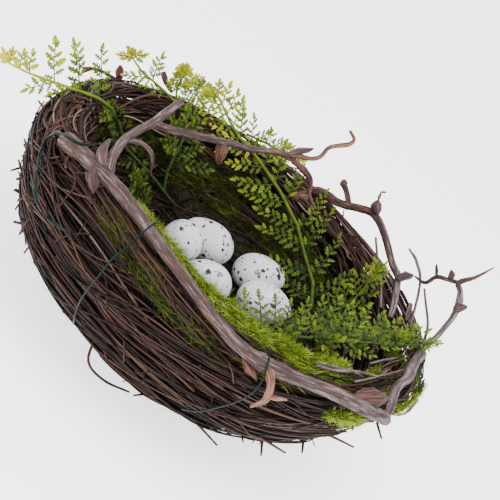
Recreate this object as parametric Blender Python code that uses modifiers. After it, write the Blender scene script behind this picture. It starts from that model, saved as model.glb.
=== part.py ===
"""A bird nest of wound twigs, with five speckled eggs, moss, ferns and bare branches.

Frame: metres, +Z up. The origin is the middle of the nest's flat base and -Y is its front.
Sizes and routes below are in millimetres, the unit they are measured in, and become metres
where a mesh is made. A route is a hand-set list of (x, y, z, radius) along a twig or stem.
"""

import random
from math import atan2, cos, hypot, pi, radians, sin, tau

import bmesh
import bpy
from mathutils import Vector, noise

MM = 0.001
GAP = 0.35  # clearance kept between pieces that touch

# The nest: a bowl of revolution, then made oval, fuller at the left and raised at the front left.
NEST_INNER = ((0, 26), (50, 26), (70, 33), (84, 46), (93, 60), (98, 74), (101, 84), (105, 91))
NEST_OUTER = (
    (111, 94), (119, 90), (124, 82), (121, 70), (115, 56), (106, 40), (90, 25), (68, 12), (55, 4), (44, 0), (0, 0),
)
NEST_SEGMENTS = 40
RING_STEP = 7.0  # between rings along the wall; every second ring is a ridge
RIDGE_DEPTH = 3.0
RIDGES_FADE = 80.0  # the ridges soften above this height, towards the rim
RIDGE_WANDER = 1.6  # how far the ridges stray up and down
OVAL = 1.05  # width across the nest over its depth front to back
FULLNESS = 3.6  # how far the wall's middle leans left
SHAPED_HEIGHT = 95.0
LIFT_BEARING = radians(244)
LIFT_SPREAD = radians(55)
RIM_LIFT = 7.0
RIM_PULL = 3.0  # the raised rim is drawn inward
LIFT_STARTS, LIFT_FULL = 60.0, 94.0

# Twigs wound into the wall: (start bearing, sweep, start height, end height), degrees and mm.
WOUND_TWIGS = (
    (150, 75, 30, 62), (208, 80, 74, 42), (255, 70, 34, 60), (300, 75, 68, 30), (350, 80, 40, 74), (60, 80, 34, 66),
)
WOUND_RADIUS = 1.7
# Twig ends that stand out of the wall: (x, y, z) of the tip and the bearing swept to its root.
LOOSE_ENDS = (
    (-127, -38, 67, 12), (-121, -48, 52, -12), (-116, -54, 40, 14), (-88, -76, 27, 15), (10, -68, 5, 16),
    (62, -82, 23, -14), (84, -70, 29, 13), (93, -70, 40, -12), (101, -54, 38, 12), (121, -44, 56, -11),
    (129, -42, 70, 10), (128, 40, 46, 12), (108, 80, 72, -11), (74, 112, 50, 12), (44, 108, 24, -13),
    (16, 129, 66, 10), (-34, 118, 38, 13), (-60, 86, 21, -14), (-86, 98, 62, 11), (-122, 62, 46, -12),
)
BOW_TWIG = ((-26, -80, 27, 0.8), (-21, -86, 14, 0.9), (-8, -76, 4.8, 0.9), (7, -66, 3.6, 0.7))
LOOSE_RADIUS = 0.9
ROOT_DEPTH = 3.5  # how far a loose end starts inside the wall

# Moss: the bed in the bowl, and strips (bearing range, radius, height, thickness) on the wall.
BED_TOP = ((0, 38.3), (52, 38.3), (63.5, 38.4), (69.5, 41.5), (76, 47), (82, 53))
BED_MOUND = (-27, 18, 34.5, 17, 6.2)  # x, y, z, radius and height of the hump under the first egg
BED_UNDER = ((84, 51.5), (78, 42.7), (67.2, 35), (49, 28.2), (0, 28.2))
BED_SEGMENTS = 24
MOSS_STRIPS = {
    "rim_moss": (232, 332, 95.2, 92.0, 6.6),
    "outer_moss_front": (315, 327, 127.4, 85.0, 3.2),
    "outer_moss_right": (338, 366, 125.8, 88.6, 3.2),
}

# Eggs: (x, y, z) of the middle, the long axis from blunt end to tip, length and diameter.
EGGS = {
    "egg_1": ((-26.5, 19.5, 53.8), (-0.3, 0.95, 0.0), 29.0, 24.6),
    "egg_2": ((-15.6, 47.0, 51.0), (-1.0, -0.05, 0.0), 34.0, 24.6),
    "egg_3": ((-1.0, 3.8, 51.2), (-0.93, -0.35, -0.1), 32.0, 24.6),
    "egg_4": ((20.8, 56.0, 51.2), (0.88, 0.38, 0.25), 33.0, 24.4),
    "egg_5": ((33.5, 31.0, 51.4), (0.93, 0.33, 0.15), 34.0, 24.6),
}
EGG_TAPER = 0.12
EGG_STEPS, EGG_SEGMENTS = 9, 14

# Branches, thickest first.
RIM_BRANCH = (
    (-105, -66, 96.5, 4.6), (-94.6, -73.9, 100.6, 4.9), (-82.7, -81.3, 103.6, 5.2), (-67.4, -89.4, 106.0, 4.6),
    (-45.6, -100.1, 106.6, 4.1), (-20, -109.5, 104.4, 3.9), (4, -114.5, 100.6, 3.9), (25, -116, 96.4, 3.9),
    (43, -114, 94.4, 4.2), (57.3, -109, 95.2, 4.0), (70.5, -102.5, 96.4, 3.7), (84.5, -94, 97.2, 3.7),
    (98.5, -84, 96.0, 4.0), (112, -68, 91.4, 4.2), (122.5, -50, 84.5, 3.6),
)
SNAG = ((-72, -86, 104, 2.8), (-81, -81, 108, 2.7), (-85, -78, 112, 2.5), (-86, -74, 117.5, 2.3))
SEED_POD = ((99, -77, 95), (115, -56, 98), 11, 9)
BARK_FLAKES = (
    ((-84, -84, 106), (-73, -101, 100), 8, 2),
    ((38, -113, 92), (53, -119, 88), 9, 2),
    ((98, -86, 94), (121, -62, 92), 6, 3),
)
UPPER_BRANCH = (
    (-74, -85, 105, 3.2), (-78.5, -77, 110.5, 3.0), (-80, -71, 114, 2.8), (-80.6, -66, 119, 2.6), (-78, -58, 126, 2.4),
    (-75.4, -52, 131.2, 2.5), (-73.8, -46, 137.5, 2.4), (-71.5, -40, 146, 2.2),
)
UPPER_HOOK = (
    (-80.6, -66, 118.9, 1.5), (-73.7, -62, 121.4, 1.5), (-67.8, -60, 120.8, 1.3), (-63.6, -58, 117, 1.1),
    (-58.6, -58, 108.6, 0.5),
)
SIDE_BRANCH = (
    (-75.4, -52, 131.1, 2.4), (-66.4, -44, 130.7, 2.3), (-53, -30, 132.6, 2.2), (-41.3, -17, 133.9, 2.0),
    (-28.9, -4, 134.9, 1.8), (-19.3, 8, 136.9, 1.7), (-10.8, 17, 137.4, 1.8), (1.6, 28, 133, 1.7),
    (8.6, 33, 128.2, 1.5), (12.6, 36, 120.3, 1.3), (20.8, 38, 115.2, 0.7),
)
SIDE_BUDS = (((-42, -17.5, 134), (-36, -18, 121.5), 8, 5), ((-12, 17, 137.5), (-2, 27, 147.5), 5, 4))
TENDRIL = (
    (-9.5, 17.5, 138, 1.2), (-5.6, 21, 140.5, 1.2), (0.6, 26, 142.2, 1.1), (3.7, 30, 145.2, 1.1),
    (3.9, 33, 150.7, 1.1), (6.5, 36, 153.7, 1.1), (11.5, 40, 158, 1.0), (12, 42, 161.7, 0.9), (6.9, 44, 163.1, 0.5),
)
HOOKED_TWIG = (
    (50, -110.5, 94, 2.6), (57, -116, 93, 2.5), (61, -119, 89, 2.2), (62.5, -120, 83, 1.9), (59, -120, 75, 0.7),
)
HOOKED_PRONG = ((62, -119.5, 85.5, 1.5), (66, -119, 87.5, 1.3), (71, -116, 89.5, 0.6))
BARK_STRIP = (
    (117.5, -40, 94.4, 1.8), (117, -33, 96.8, 2.2), (119, -20, 97.8, 2.1), (119, 0, 97.6, 2.1), (120, 15, 98.2, 2.6),
    (121, 19, 97.4, 2.0),
)
BACK_BRANCH = (
    (22.5, 101.5, 100.5, 3.2), (28.3, 98.5, 102.2, 2.7), (34.6, 98, 105, 2.6), (40.8, 97, 108.8, 2.5), (47.7, 94, 113.5, 2.6),
    (53.1, 91, 114.3, 2.5), (59.2, 88, 112.6, 2.4), (65.8, 84, 109.8, 2.4), (72, 79, 107.1, 2.4),
    (78, 73, 104.9, 2.3), (83.9, 67, 104.3, 2.3), (86.5, 62, 102.2, 2.2), (92, 50, 96.4, 2.1), (95, 42, 91.6, 1.7),
)
BACK_STUB = ((36, 98, 105.5, 2.0), (29.5, 99, 111, 1.8), (24.5, 99, 114, 2.1))
BACK_BUDS = (
    ((52, 92, 114), (45, 92, 126), 6.5, 6.5),
    ((46, 92, 125), (45, 92, 129.5), 1.6, 1.6),
    ((84, 64, 103), (90, 62, 113.5), 7, 5),
)
THIN_TWIGS = {
    "thin_twig_1": ((60, 85, 106.5, 0.9), (69, 74, 101, 0.8), (80, 64, 94, 0.8), (88, 52, 88, 0.9)),
    "thin_twig_2": ((78, 65, 122.9, 0.7), (86, 60, 121.8, 1.1), (95.4, 52, 116, 0.9), (107, 34, 98, 0.9)),
    "thin_twig_3": ((99, 47.5, 117, 0.8), (103.1, 42, 114.6, 0.8), (113, 33, 107.4, 0.9), (118, 30, 98.4, 0.9)),
    "thin_twig_4": ((98.7, 44, 106.2, 1.2), (100, 42, 103.5, 1.6), (102.3, 39, 97.6, 0.9)),
}
RIGHT_TWIG = (
    (119.4, 27, 95.0, 1.9), (120.3, 23, 107, 1.8), (120.2, 22, 114.7, 1.8), (119, 20, 127.4, 1.8),
    (116.3, 20, 135.6, 2.1), (112.2, 20, 141.5, 1.7), (108.6, 20, 145, 1.7), (113.4, 18, 155, 1.1),
    (116.8, 16, 166.8, 0.4),
)
RIGHT_KNOT = ((116, 19, 131), (121, 18, 138), 5, 5)
RIGHT_ARM = (
    (108.5, 20, 144.6, 1.5), (103, 26, 139.4, 1.4), (98.2, 34, 133, 1.3), (96.5, 42, 122.6, 1.2),
    (90.5, 52, 117.3, 0.6),
)
RIGHT_SPIKES = (((98.5, 33, 133), (93.3, 34, 139.5), 2, 2), ((105, 24, 141), (101, 25, 146), 4.5, 3.5))
RED_TWIG = (
    (-99, 88, 82, 1.5), (-104, 86, 80, 1.4), (-110, 80, 80, 1.3), (-117, 72, 82, 1.3), (-122, 65, 84, 1.2),
    (-127, 58, 86, 1.1), (-132, 52, 86, 1.2), (-135, 46, 84.5, 1.8),
)
RED_BUD = ((-117.5, 70.5, 83), (-123, 71, 91), 6.5, 5)
RED_STUB = ((-89, 76, 96.8, 1.0), (-96, 79, 98.4, 1.8), (-101, 82, 100.5, 1.5))

# Floral wires, held by the branch and the wall all along.
WIRES = {
    "wire_left": (
        (-88, -71, 107), (-91, -76, 109), (-97, -81, 107.6), (-104, -78, 104.6), (-110, -70, 99), (-114, -65, 89),
        (-112, -72, 86), (-109, -79, 84), (-102, -86, 77), (-94, -92, 71), (-83, -101, 72), (-71, -108, 77),
    ),
    "wire_front": (
        (-37, -98.0, 110), (-38.5, -104.5, 112.2), (-40, -111, 107), (-41, -116, 99), (-43, -121, 90), (-43, -121, 76),
        (-43, -117, 60), (-42, -111, 49), (-40, -106, 40), (-39, -99, 33),
    ),
    "wire_right": (
        (48, -107.5, 97.5), (50, -112, 99.6), (52, -117, 97), (55, -120, 90), (55, -119, 80), (52, -116, 69),
        (47, -111, 57), (41, -106, 45), (34, -101, 37),
    ),
}
WIRE_RADIUS = 0.55

# Ferns. Each stem is (x, y, z, radius); each spray is (root, tip, width), root on the stem.
# paired=(count, length, width, lean degrees, first and last place along the stem) adds more.
FERNS = {
    "fern_left": {
        "stem": (
            (-44, 60, 48.5, 1.3), (-68, 52, 58, 1.3), (-87, 36, 68, 1.3), (-98, 22, 84, 1.3), (-105, 11, 93, 1.3),
            (-113, -4, 99, 1.2), (-122, -5, 96, 1.1), (-137, -6, 90, 1.1), (-152, -8, 85, 0.8), (-163, -10, 83, 0.7),
            (-170, -10, 86.5, 0.4),
        ),
        "sprays": (
            ((-137, -6, 90), (-151, 2, 106), 12), ((-137, -6, 90), (-147, -12, 78), 8),
            ((-122, -5, 96), (-137, 2, 107), 8), ((-129, -1.7, 101.2), (-143, 6, 111), 7),
            ((-112, -3, 99), (-129, 10, 117), 8), ((-157, -9, 84), (-161, -4, 91), 5),
            ((-151, -8, 85.4), (-157, -3, 94), 6), ((-163, -10, 83.2), (-166.5, -7, 89), 4),
            ((-128, -5.5, 93.6), (-134, -10, 84), 5),
        ),
        "facing": (0.2, -0.87, 0.45),
        "paired": (6, 14, 6, 50, 0.10, 0.40),
    },
    "fern_back": {
        "stem": (
            (57.5, 46.5, 50.4, 1.4), (57, 58, 57, 1.4), (49, 70, 64, 1.4), (32, 82, 71, 1.3), (20, 88, 78, 1.3),
            (-2, 93, 86, 1.2), (-16, 93.5, 90, 1.2), (-30, 91, 95, 1.1), (-42, 88, 98, 1.0), (-52, 92, 100, 1.0),
            (-60, 96, 102.4, 0.9), (-67, 97, 105, 0.7), (-74, 94, 108, 0.4),
        ),
        "sprays": (),
        "facing": (-0.15, -0.85, 0.5),
        "paired": (13, 31, 9, 50, 0.12, 0.93),
    },
    "fern_rim": {
        "stem": ((-40, 100, 97.4, 0.9), (-27, 102, 100.4, 0.9), (-19, 103, 102, 0.8), (-12, 103, 104, 0.7), (-3, 102, 108, 0.4)),
        "sprays": (),
        "facing": (0.1, -0.8, 0.6),
        "paired": (4, 9, 5, 50, 0.15, 0.85),
    },
    "fern_back_left": {
        "stem": (
            (-80, 64, 98.4, 1.0), (-92, 64, 99.6, 0.9), (-101, 62, 100.6, 0.9), (-109, 60, 101.5, 0.8),
            (-117, 53, 107, 0.6), (-122, 45, 113.5, 0.4),
        ),
        "sprays": (
            ((-101, 62, 100.6), (-106, 66, 115), 7), ((-101, 62, 100.6), (-115, 54, 95), 6),
            ((-92, 64, 99.6), (-104, 58, 94.5), 5), ((-117, 53, 107), (-113, 53, 114), 5),
            ((-117, 53, 107), (-124, 49, 105), 4),
        ),
        "facing": (0.2, -0.85, 0.5),
        "paired": (0, 0, 0, 0, 0, 0),
    },
    "fern_back_small": {
        "stem": ((-82, 69, 94.8, 0.8), (-88, 74, 102, 0.8), (-90, 79, 107, 0.6), (-92.5, 82, 113, 0.4)),
        "sprays": (),
        "facing": (0.2, -0.85, 0.5),
        "paired": (4, 7, 4, 55, 0.3, 0.85),
    },
    "fern_inner_left": {
        "stem": (
            (-55, 60, 50.6, 1.2), (-61, 62, 62, 1.2), (-64, 65, 74, 1.1), (-66, 67, 83, 1.0), (-72, 70, 92, 0.9),
            (-76, 78, 98.6, 0.8), (-78, 84, 104, 0.6), (-80.5, 90, 110, 0.4),
        ),
        "sprays": (((-63, 62, 69), (-42, 73, 76), 8),),
        "facing": (0.5, -0.75, 0.45),
        "paired": (7, 16, 7, 52, 0.28, 0.93),
    },
    "fern_right": {
        "stem": ((73, 38, 54, 1.2), (74, 43, 66, 1.1), (73, 49, 80, 1.0), (73, 54, 93, 0.8), (73, 60, 108, 0.4)),
        "sprays": (),
        "facing": (-0.6, -0.7, 0.4),
        "paired": (6, 18, 8, 48, 0.15, 0.9),
    },
    "fern_front": {
        "stem": (
            (30, -45, 39.9, 1.2), (34, -51, 60, 1.2), (42, -46, 74, 1.2), (58, -33, 80, 1.2), (77, -17, 86, 1.1), (93, -5, 93.5, 1.0),
            (107, 4, 99.6, 0.8), (115, 8, 106, 0.6), (121, 11, 113, 0.4),
        ),
        "sprays": (
            ((38, -49, 68), (20, -34, 80), 8), ((41, -46, 73), (27, -32, 84), 7), ((45, -43, 76), (36, -26, 85), 8),
            ((51, -38, 78), (43, -20, 87), 8), ((56, -34, 79), (50, -13, 91), 8), ((62, -30, 81), (56, -6, 95), 8),
            ((67, -26, 83), (63, 0, 99), 9), ((73, -21, 85), (71, 4, 100), 9), ((79, -15, 87), (80, 9, 103), 9),
            ((86, -10, 90), (88, 12, 104), 8), ((93, -5, 93.5), (97, 13, 107), 8), ((100, -1, 97), (106, 13, 110), 7),
            ((48, -41, 77), (60, -52, 86), 8), ((66, -27, 83), (79, -40, 91), 8), ((84, -11, 89), (97, -24, 97), 8),
        ),
        "facing": (-0.1, -0.8, 0.6),
        "paired": (0, 0, 0, 0, 0, 0),
    },
    "fern_left_small": {
        "stem": ((-46, 2, 39.8, 0.9), (-53, -4, 57, 0.9), (-62, -12, 74, 0.8), (-70, -20, 88, 0.4)),
        "sprays": (),
        "facing": (0.6, -0.6, 0.5),
        "paired": (5, 11, 6, 50, 0.3, 0.9),
    },
}
FROND_THICKNESS = 1.1
FROND_CURL = 2.5  # the tips of paired sprays lean off the wall
FROND_REACH = 5.0  # a leaf this near the stem grows from the stem


# ---------------------------------------------------------------- scene and materials

def clear_scene():
    for thing in list(bpy.data.objects):
        bpy.data.objects.remove(thing, do_unlink=True)


def finish(name, colour, roughness):
    """A plain Principled material."""
    material = bpy.data.materials.new(name)
    material.use_nodes = True
    shader = material.node_tree.nodes["Principled BSDF"]
    shader.inputs["Base Color"].default_value = (*colour, 1.0)
    shader.inputs["Roughness"].default_value = roughness
    shader.inputs["Metallic"].default_value = 0.0
    return material


def make_collection(name):
    collection = bpy.data.collections.new(name)
    bpy.context.scene.collection.children.link(collection)
    return collection


def add_object(name, mesh, material=None):
    """Puts a mesh into the nest's collection as a named object."""
    piece = bpy.data.objects.new(name, mesh)
    NEST.objects.link(piece)
    if material:
        mesh.materials.clear()
        mesh.materials.append(material)
    return piece


def baked(piece):
    """The object's mesh with its modifiers applied."""
    graph = bpy.context.evaluated_depsgraph_get()
    return bpy.data.meshes.new_from_object(piece.evaluated_get(graph))


def apply_modifiers(piece):
    mesh = baked(piece)
    piece.modifiers.clear()
    piece.data = mesh


def shade(piece, angle=40):
    piece.data.shade_smooth()
    piece.data.set_sharp_from_angle(angle=radians(angle))


def combine(piece, other, operation):
    """A Boolean of two objects, which uses up the second one."""
    boolean = piece.modifiers.new(operation.title(), "BOOLEAN")
    boolean.operation = operation
    boolean.solver = "EXACT"
    boolean.object = other
    apply_modifiers(piece)
    bpy.data.objects.remove(other, do_unlink=True)


def drop_slivers(piece, least=20):
    """Welds the seams of many unions and removes any crumb they left."""
    bm = bmesh.new()
    bm.from_mesh(piece.data)
    bmesh.ops.remove_doubles(bm, verts=bm.verts, dist=MM * 0.02)
    waiting = set(bm.verts)
    while waiting:
        island, edge = set(), [waiting.pop()]
        while edge:
            vert = edge.pop()
            island.add(vert)
            near = {link.other_vert(vert) for link in vert.link_edges} - island
            edge.extend(near & waiting)
            waiting -= near
        if len(island) < least:
            bmesh.ops.delete(bm, geom=list(island), context="VERTS")
    spare = [vert for vert in bm.verts if len(vert.link_edges) == 2]
    bmesh.ops.dissolve_verts(bm, verts=spare)
    bmesh.ops.triangulate(bm, faces=[face for face in bm.faces if len(face.verts) > 4])
    bm.to_mesh(piece.data)
    bm.free()


# ---------------------------------------------------------------- routes and tubes

def smooth_route(points, per_span):
    """Points on the smooth curve through a route's own points."""
    nodes = [Vector(point) for point in points]
    route = []
    for index in range(len(nodes) - 1):
        before = nodes[max(index - 1, 0)]
        start, end = nodes[index], nodes[index + 1]
        after = nodes[min(index + 2, len(nodes) - 1)]
        for step in range(per_span):
            t = step / per_span
            pull = (end - before) * 0.5
            push = (after - start) * 0.5
            a = 2 * t ** 3 - 3 * t ** 2 + 1
            b = t ** 3 - 2 * t ** 2 + t
            c = -2 * t ** 3 + 3 * t ** 2
            d = t ** 3 - t ** 2
            route.append(start * a + pull * b + end * c + push * d)
    route.append(nodes[-1])
    return route


def even_route(points, step):
    """The same smooth curve with its points about one step apart."""
    dense = smooth_route(points, 12)
    total = sum((b - a).length for a, b in zip(dense, dense[1:]))
    spans = max(1, round(total / step))
    wanted, walked, route = total / spans, 0.0, [dense[0]]
    for a, b in zip(dense, dense[1:]):
        span = (b - a).length
        while span > 0 and walked + span >= wanted * len(route) and len(route) < spans:
            route.append(a.lerp(b, (wanted * len(route) - walked) / span))
        walked += span
    route.append(dense[-1])
    return route


def tube(name, route, material=None, sides=6, per_span=1, swell=0.0):
    """A round twig along a route of (x, y, z, radius), closed at both ends."""
    curve = bpy.data.curves.new(name, "CURVE")
    curve.dimensions = "3D"
    curve.bevel_depth = MM
    curve.bevel_resolution = (sides - 4) // 2
    curve.use_fill_caps = True
    points = smooth_route([Vector(point) for point in route], per_span)
    spline = curve.splines.new("POLY")
    spline.points.add(len(points) - 1)
    for knot, point in zip(spline.points, points):
        knot.co = (point[0] * MM, point[1] * MM, point[2] * MM, 1.0)
        knot.radius = point[3] + swell
    guide = bpy.data.objects.new(name, curve)
    NEST.objects.link(guide)
    mesh = baked(guide)
    bpy.data.objects.remove(guide, do_unlink=True)
    bm = bmesh.new()
    bm.from_mesh(mesh)
    bmesh.ops.remove_doubles(bm, verts=bm.verts, dist=MM * 0.01)
    bmesh.ops.recalc_face_normals(bm, faces=bm.faces)
    bm.to_mesh(mesh)
    bm.free()
    return add_object(name, mesh, material)


def spindle(name, root, tip, width, thickness, facing=(0, 0, 1), sides=4, bands=2):
    """A bud, leaf or flake: pointed at both ends, from root to tip, flat side to facing."""
    root, tip = Vector(root) * MM, Vector(tip) * MM
    along = (tip - root).normalized()
    across = along.cross(Vector(facing)).normalized()
    up = across.cross(along)
    bm = bmesh.new()
    bmesh.ops.create_uvsphere(bm, u_segments=sides, v_segments=bands, radius=1.0)
    half = (tip - root).length / 2
    for vert in bm.verts:
        x, y, z = vert.co
        spot = across * (x * width * MM / 2) + up * (y * thickness * MM / 2) + along * (z * half)
        vert.co = (root + tip) / 2 + spot
    bmesh.ops.recalc_face_normals(bm, faces=bm.faces)
    mesh = bpy.data.meshes.new(name)
    bm.to_mesh(mesh)
    bm.free()
    return add_object(name, mesh)


def add_buds(piece, buds, sides=6, bands=4):
    """Fuses buds given as (root, tip, width, thickness) to the twig they grow on."""
    for number, (root, tip, width, thickness) in enumerate(buds):
        bud = spindle(f"bud_{number}", root, tip, width, thickness, sides=sides, bands=bands)
        combine(piece, bud, "UNION")


def trim(piece, parent_route, sides=6, per_span=1):
    """Cuts the root of a twig to the parent branch it grows from, with a hair's clearance."""
    cutter = tube("saddle", parent_route, sides=sides, per_span=per_span, swell=GAP)
    combine(piece, cutter, "DIFFERENCE")


# ---------------------------------------------------------------- the nest's shape

def smoothstep(value):
    value = min(max(value, 0.0), 1.0)
    return value * value * (3 - 2 * value)


def settle(x, y, z):
    """A point of the round bowl moved to where it lies in the oval, lopsided nest."""
    radius = max(hypot(x, y), 1e-6)
    off = (atan2(y, x) - LIFT_BEARING + pi) % tau - pi
    near = cos(min(abs(off) / LIFT_SPREAD, 1.0) * pi / 2) ** 2
    rise = near * smoothstep((z - LIFT_STARTS) / (LIFT_FULL - LIFT_STARTS))
    drawn = 1 - RIM_PULL * rise / radius
    lean = FULLNESS * sin(pi * min(max(z, 0.0), SHAPED_HEIGHT) / SHAPED_HEIGHT)
    return Vector((x * drawn * OVAL - lean, y * drawn, z + RIM_LIFT * rise))


def on_bowl(radius, bearing, height):
    """A settled point at a bearing in degrees."""
    angle = radians(bearing)
    return settle(radius * cos(angle), radius * sin(angle), height)


def wall_radius(height):
    """The outer radius of the bowl at a height."""
    outline = NEST_OUTER[::-1]
    for (r0, z0), (r1, z1) in zip(outline, outline[1:]):
        if z0 <= height <= z1 and z1 > z0:
            return r0 + (r1 - r0) * (height - z0) / (z1 - z0)
    return NEST_OUTER[0][0]


def screw(name, profile, segments, material=None):
    """A turned solid from a profile of (radius, height) that starts and ends on the axis."""
    mesh = bpy.data.meshes.new(name)
    verts = [(r * MM, 0.0, z * MM) for r, z in profile]
    mesh.from_pydata(verts, [(i, i + 1) for i in range(len(verts) - 1)], [])
    piece = add_object(name, mesh)
    turn = piece.modifiers.new("Turn", "SCREW")
    turn.axis = "Z"
    turn.steps = turn.render_steps = segments
    turn.use_merge_vertices = True
    turn.merge_threshold = 0.00001
    apply_modifiers(piece)
    bm = bmesh.new()
    bm.from_mesh(piece.data)
    bmesh.ops.recalc_face_normals(bm, faces=bm.faces)
    bm.to_mesh(piece.data)
    bm.free()
    if material:
        piece.data.materials.append(material)
    return piece


def ridged_profile():
    """The wall's outline with every second ring of the twig wall raised into a ridge."""
    inside = even_route([(r, z, 0) for r, z in NEST_INNER[1:] + NEST_OUTER[:1]], RING_STEP * 1.35)
    outside = even_route([(r, z, 0) for r, z in NEST_OUTER[:-1]], RING_STEP)
    rings = [Vector((NEST_INNER[0][0], NEST_INNER[0][1], 0))] + inside[:-1] + outside
    profile = [tuple(rings[0][:2])]
    for index in range(1, len(rings) - 1):
        before, here, after = rings[index - 1], rings[index], rings[index + 1]
        way = (after - before).normalized()
        normal = Vector((-way.y, way.x))
        settled = here.y < 3 or here.x < NEST_INNER[1][0] + 1
        fade = 1 - 0.65 * smoothstep((here.y - RIDGES_FADE) / 8)
        height = 0.0 if settled else fade * RIDGE_DEPTH * (0.5 if index % 2 else -0.5)
        profile.append((here.x + normal.x * height, here.y + normal.y * height))
    return profile + [tuple(rings[-1][:2]), (0.0, 0.0)]


def shape_wall(mesh):
    """Lets the ridges stray, then settles the round bowl into the nest's shape."""
    for vert in mesh.vertices:
        x, y, z = (value / MM for value in vert.co)
        radius = hypot(x, y)
        if radius > NEST_INNER[1][0] + 2 and z > 2:
            spot = Vector((x / radius * 2.4, y / radius * 2.4, z / 26))
            z += RIDGE_WANDER * noise.noise(spot)
            swell = 1 + 1.1 * noise.noise(spot * 2.3 + Vector((7, 3, 5))) / radius
            x, y = x * swell, y * swell
        vert.co = settle(x, y, z) * MM


def wound_twig_route(start, sweep, low, high):
    """A twig half sunk in the wall along part of a turn."""
    route, spans = [], 7
    for step in range(spans + 1):
        t = step / spans
        height = low + (high - low) * smoothstep(t) + 2.0 * sin(t * tau)
        sink = 1.0 if 0 < step < spans else 2.6
        spot = on_bowl(wall_radius(height) + WOUND_RADIUS - sink, start + sweep * t, height)
        route.append((*spot, WOUND_RADIUS if 0 < step < spans else WOUND_RADIUS * 0.6))
    return route


def loose_end_route(x, y, z, sweep):
    """A twig end that leaves the wall at a slant and reaches its tip."""
    bearing = atan2(y, x / OVAL) * 360 / tau
    route = []
    for part, out in ((1.0, -ROOT_DEPTH), (0.55, 0.6)):
        spot = on_bowl(wall_radius(z) + out, bearing + sweep * part, z)
        route.append((*spot, LOOSE_RADIUS))
    return route + [(x, y, z, LOOSE_RADIUS * 0.7)]


def build_nest_wall(material):
    wall = screw("nest_wall", ridged_profile(), NEST_SEGMENTS)
    shape_wall(wall.data)
    for twig in WOUND_TWIGS:
        combine(wall, tube("wound", wound_twig_route(*twig), sides=4), "UNION")
    for end in LOOSE_ENDS:
        combine(wall, tube("end", loose_end_route(*end), sides=4), "UNION")
    combine(wall, tube("bow", BOW_TWIG, sides=4), "UNION")
    drop_slivers(wall)
    wall.data.materials.clear()
    wall.data.materials.append(material)
    shade(wall)


# ---------------------------------------------------------------- moss and eggs

def build_moss_bed(material):
    bed = screw("moss_bed", BED_TOP + BED_UNDER, BED_SEGMENTS, material)
    for vert in bed.data.vertices:
        x, y, z = (value / MM for value in vert.co)
        if z > BED_UNDER[1][1] and hypot(x, y) < BED_TOP[-1][0] + 1:
            z += 1.6 * noise.noise(Vector((x / 11, y / 11, 2))) if hypot(x, y) > 66 else 0
        vert.co = settle(x, y, z) * MM
    x, y, z, radius, height = BED_MOUND
    mound = screw("mound", ((0, height), (radius * 0.6, height * 0.72), (radius, 0), (0, -2)), 12)
    mound.location = Vector((x, y, z)) * MM
    combine(bed, mound, "UNION")
    shade(bed, 60)


def build_moss_strips(material):
    for name, (start, end, radius, height, thickness) in MOSS_STRIPS.items():
        spans = max(3, round((end - start) / 8))
        route = []
        for step in range(spans + 1):
            swell = 1 + 0.16 * sin(step * 2.4 + radius)
            if step in (0, spans):
                swell = 0.55
            spot = on_bowl(radius, start + (end - start) * step / spans, height)
            route.append((*spot, thickness * swell))
        shade(tube(name, route, material, sides=6), 60)


def egg_profile(length, diameter):
    """Half the outline of an egg, from its tip down to its blunt end."""
    profile = []
    for step in range(EGG_STEPS + 1):
        turn = pi * step / EGG_STEPS
        radius = diameter / 2 * sin(turn) * (1 - EGG_TAPER * cos(turn))
        profile.append((radius if 0 < step < EGG_STEPS else 0.0, length / 2 * cos(turn)))
    return profile


def build_eggs(material):
    for name, (middle, axis, length, diameter) in EGGS.items():
        egg = screw(name, egg_profile(length, diameter), EGG_SEGMENTS, material)
        egg.location = Vector(middle) * MM
        egg.rotation_euler = Vector(axis).to_track_quat("Z", "Y").to_euler()
        shade(egg, 80)


# ---------------------------------------------------------------- branches and wires

def build_rim_branch(bark):
    branch = tube("rim_branch", RIM_BRANCH, bark, sides=8)
    combine(branch, tube("snag", SNAG), "UNION")
    for number, (root, tip, width, thickness) in enumerate(BARK_FLAKES):
        flake = spindle(f"flake_{number}", root, tip, width, thickness, facing=(0, -1, 0.4))
        combine(branch, flake, "UNION")
    add_buds(branch, (SEED_POD,))
    shade(branch)


def build_upper_branches(bark):
    upper = tube("upper_branch", UPPER_BRANCH, bark)
    trim(upper, RIM_BRANCH, sides=8)
    trim(upper, SNAG)
    combine(upper, tube("hook", UPPER_HOOK), "UNION")
    side = tube("side_branch", SIDE_BRANCH, bark)
    trim(side, UPPER_BRANCH)
    combine(side, tube("tendril", TENDRIL), "UNION")
    add_buds(side, SIDE_BUDS)
    shade(upper)
    shade(side)


def build_front_twigs(bark):
    hooked = tube("hooked_twig", HOOKED_TWIG, bark)
    combine(hooked, tube("prong", HOOKED_PRONG), "UNION")
    trim(hooked, RIM_BRANCH, sides=8)
    shade(hooked)
    shade(tube("bark_strip", BARK_STRIP, bark))


def build_back_branches(bark):
    back = tube("back_branch", BACK_BRANCH, bark)
    combine(back, tube("stub", BACK_STUB), "UNION")
    add_buds(back, BACK_BUDS)
    shade(back)
    for name, route in THIN_TWIGS.items():
        shade(tube(name, route, bark))


def build_right_twigs(bark):
    twig = tube("right_twig", RIGHT_TWIG, bark)
    add_buds(twig, (RIGHT_KNOT,))
    arm = tube("right_twig_arm", RIGHT_ARM, bark)
    trim(arm, RIGHT_TWIG)
    add_buds(arm, RIGHT_SPIKES, sides=4)
    shade(twig)
    shade(arm)


def build_red_twigs(bark):
    twig = tube("red_twig", RED_TWIG, bark)
    add_buds(twig, (RED_BUD,))
    shade(twig)
    shade(tube("red_bud_stub", RED_STUB, bark))


def build_wires(material):
    for name, route in WIRES.items():
        wire = tube(name, [(*point, WIRE_RADIUS) for point in route], material, sides=4, per_span=2)
        shade(wire, 60)


# ---------------------------------------------------------------- ferns

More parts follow.
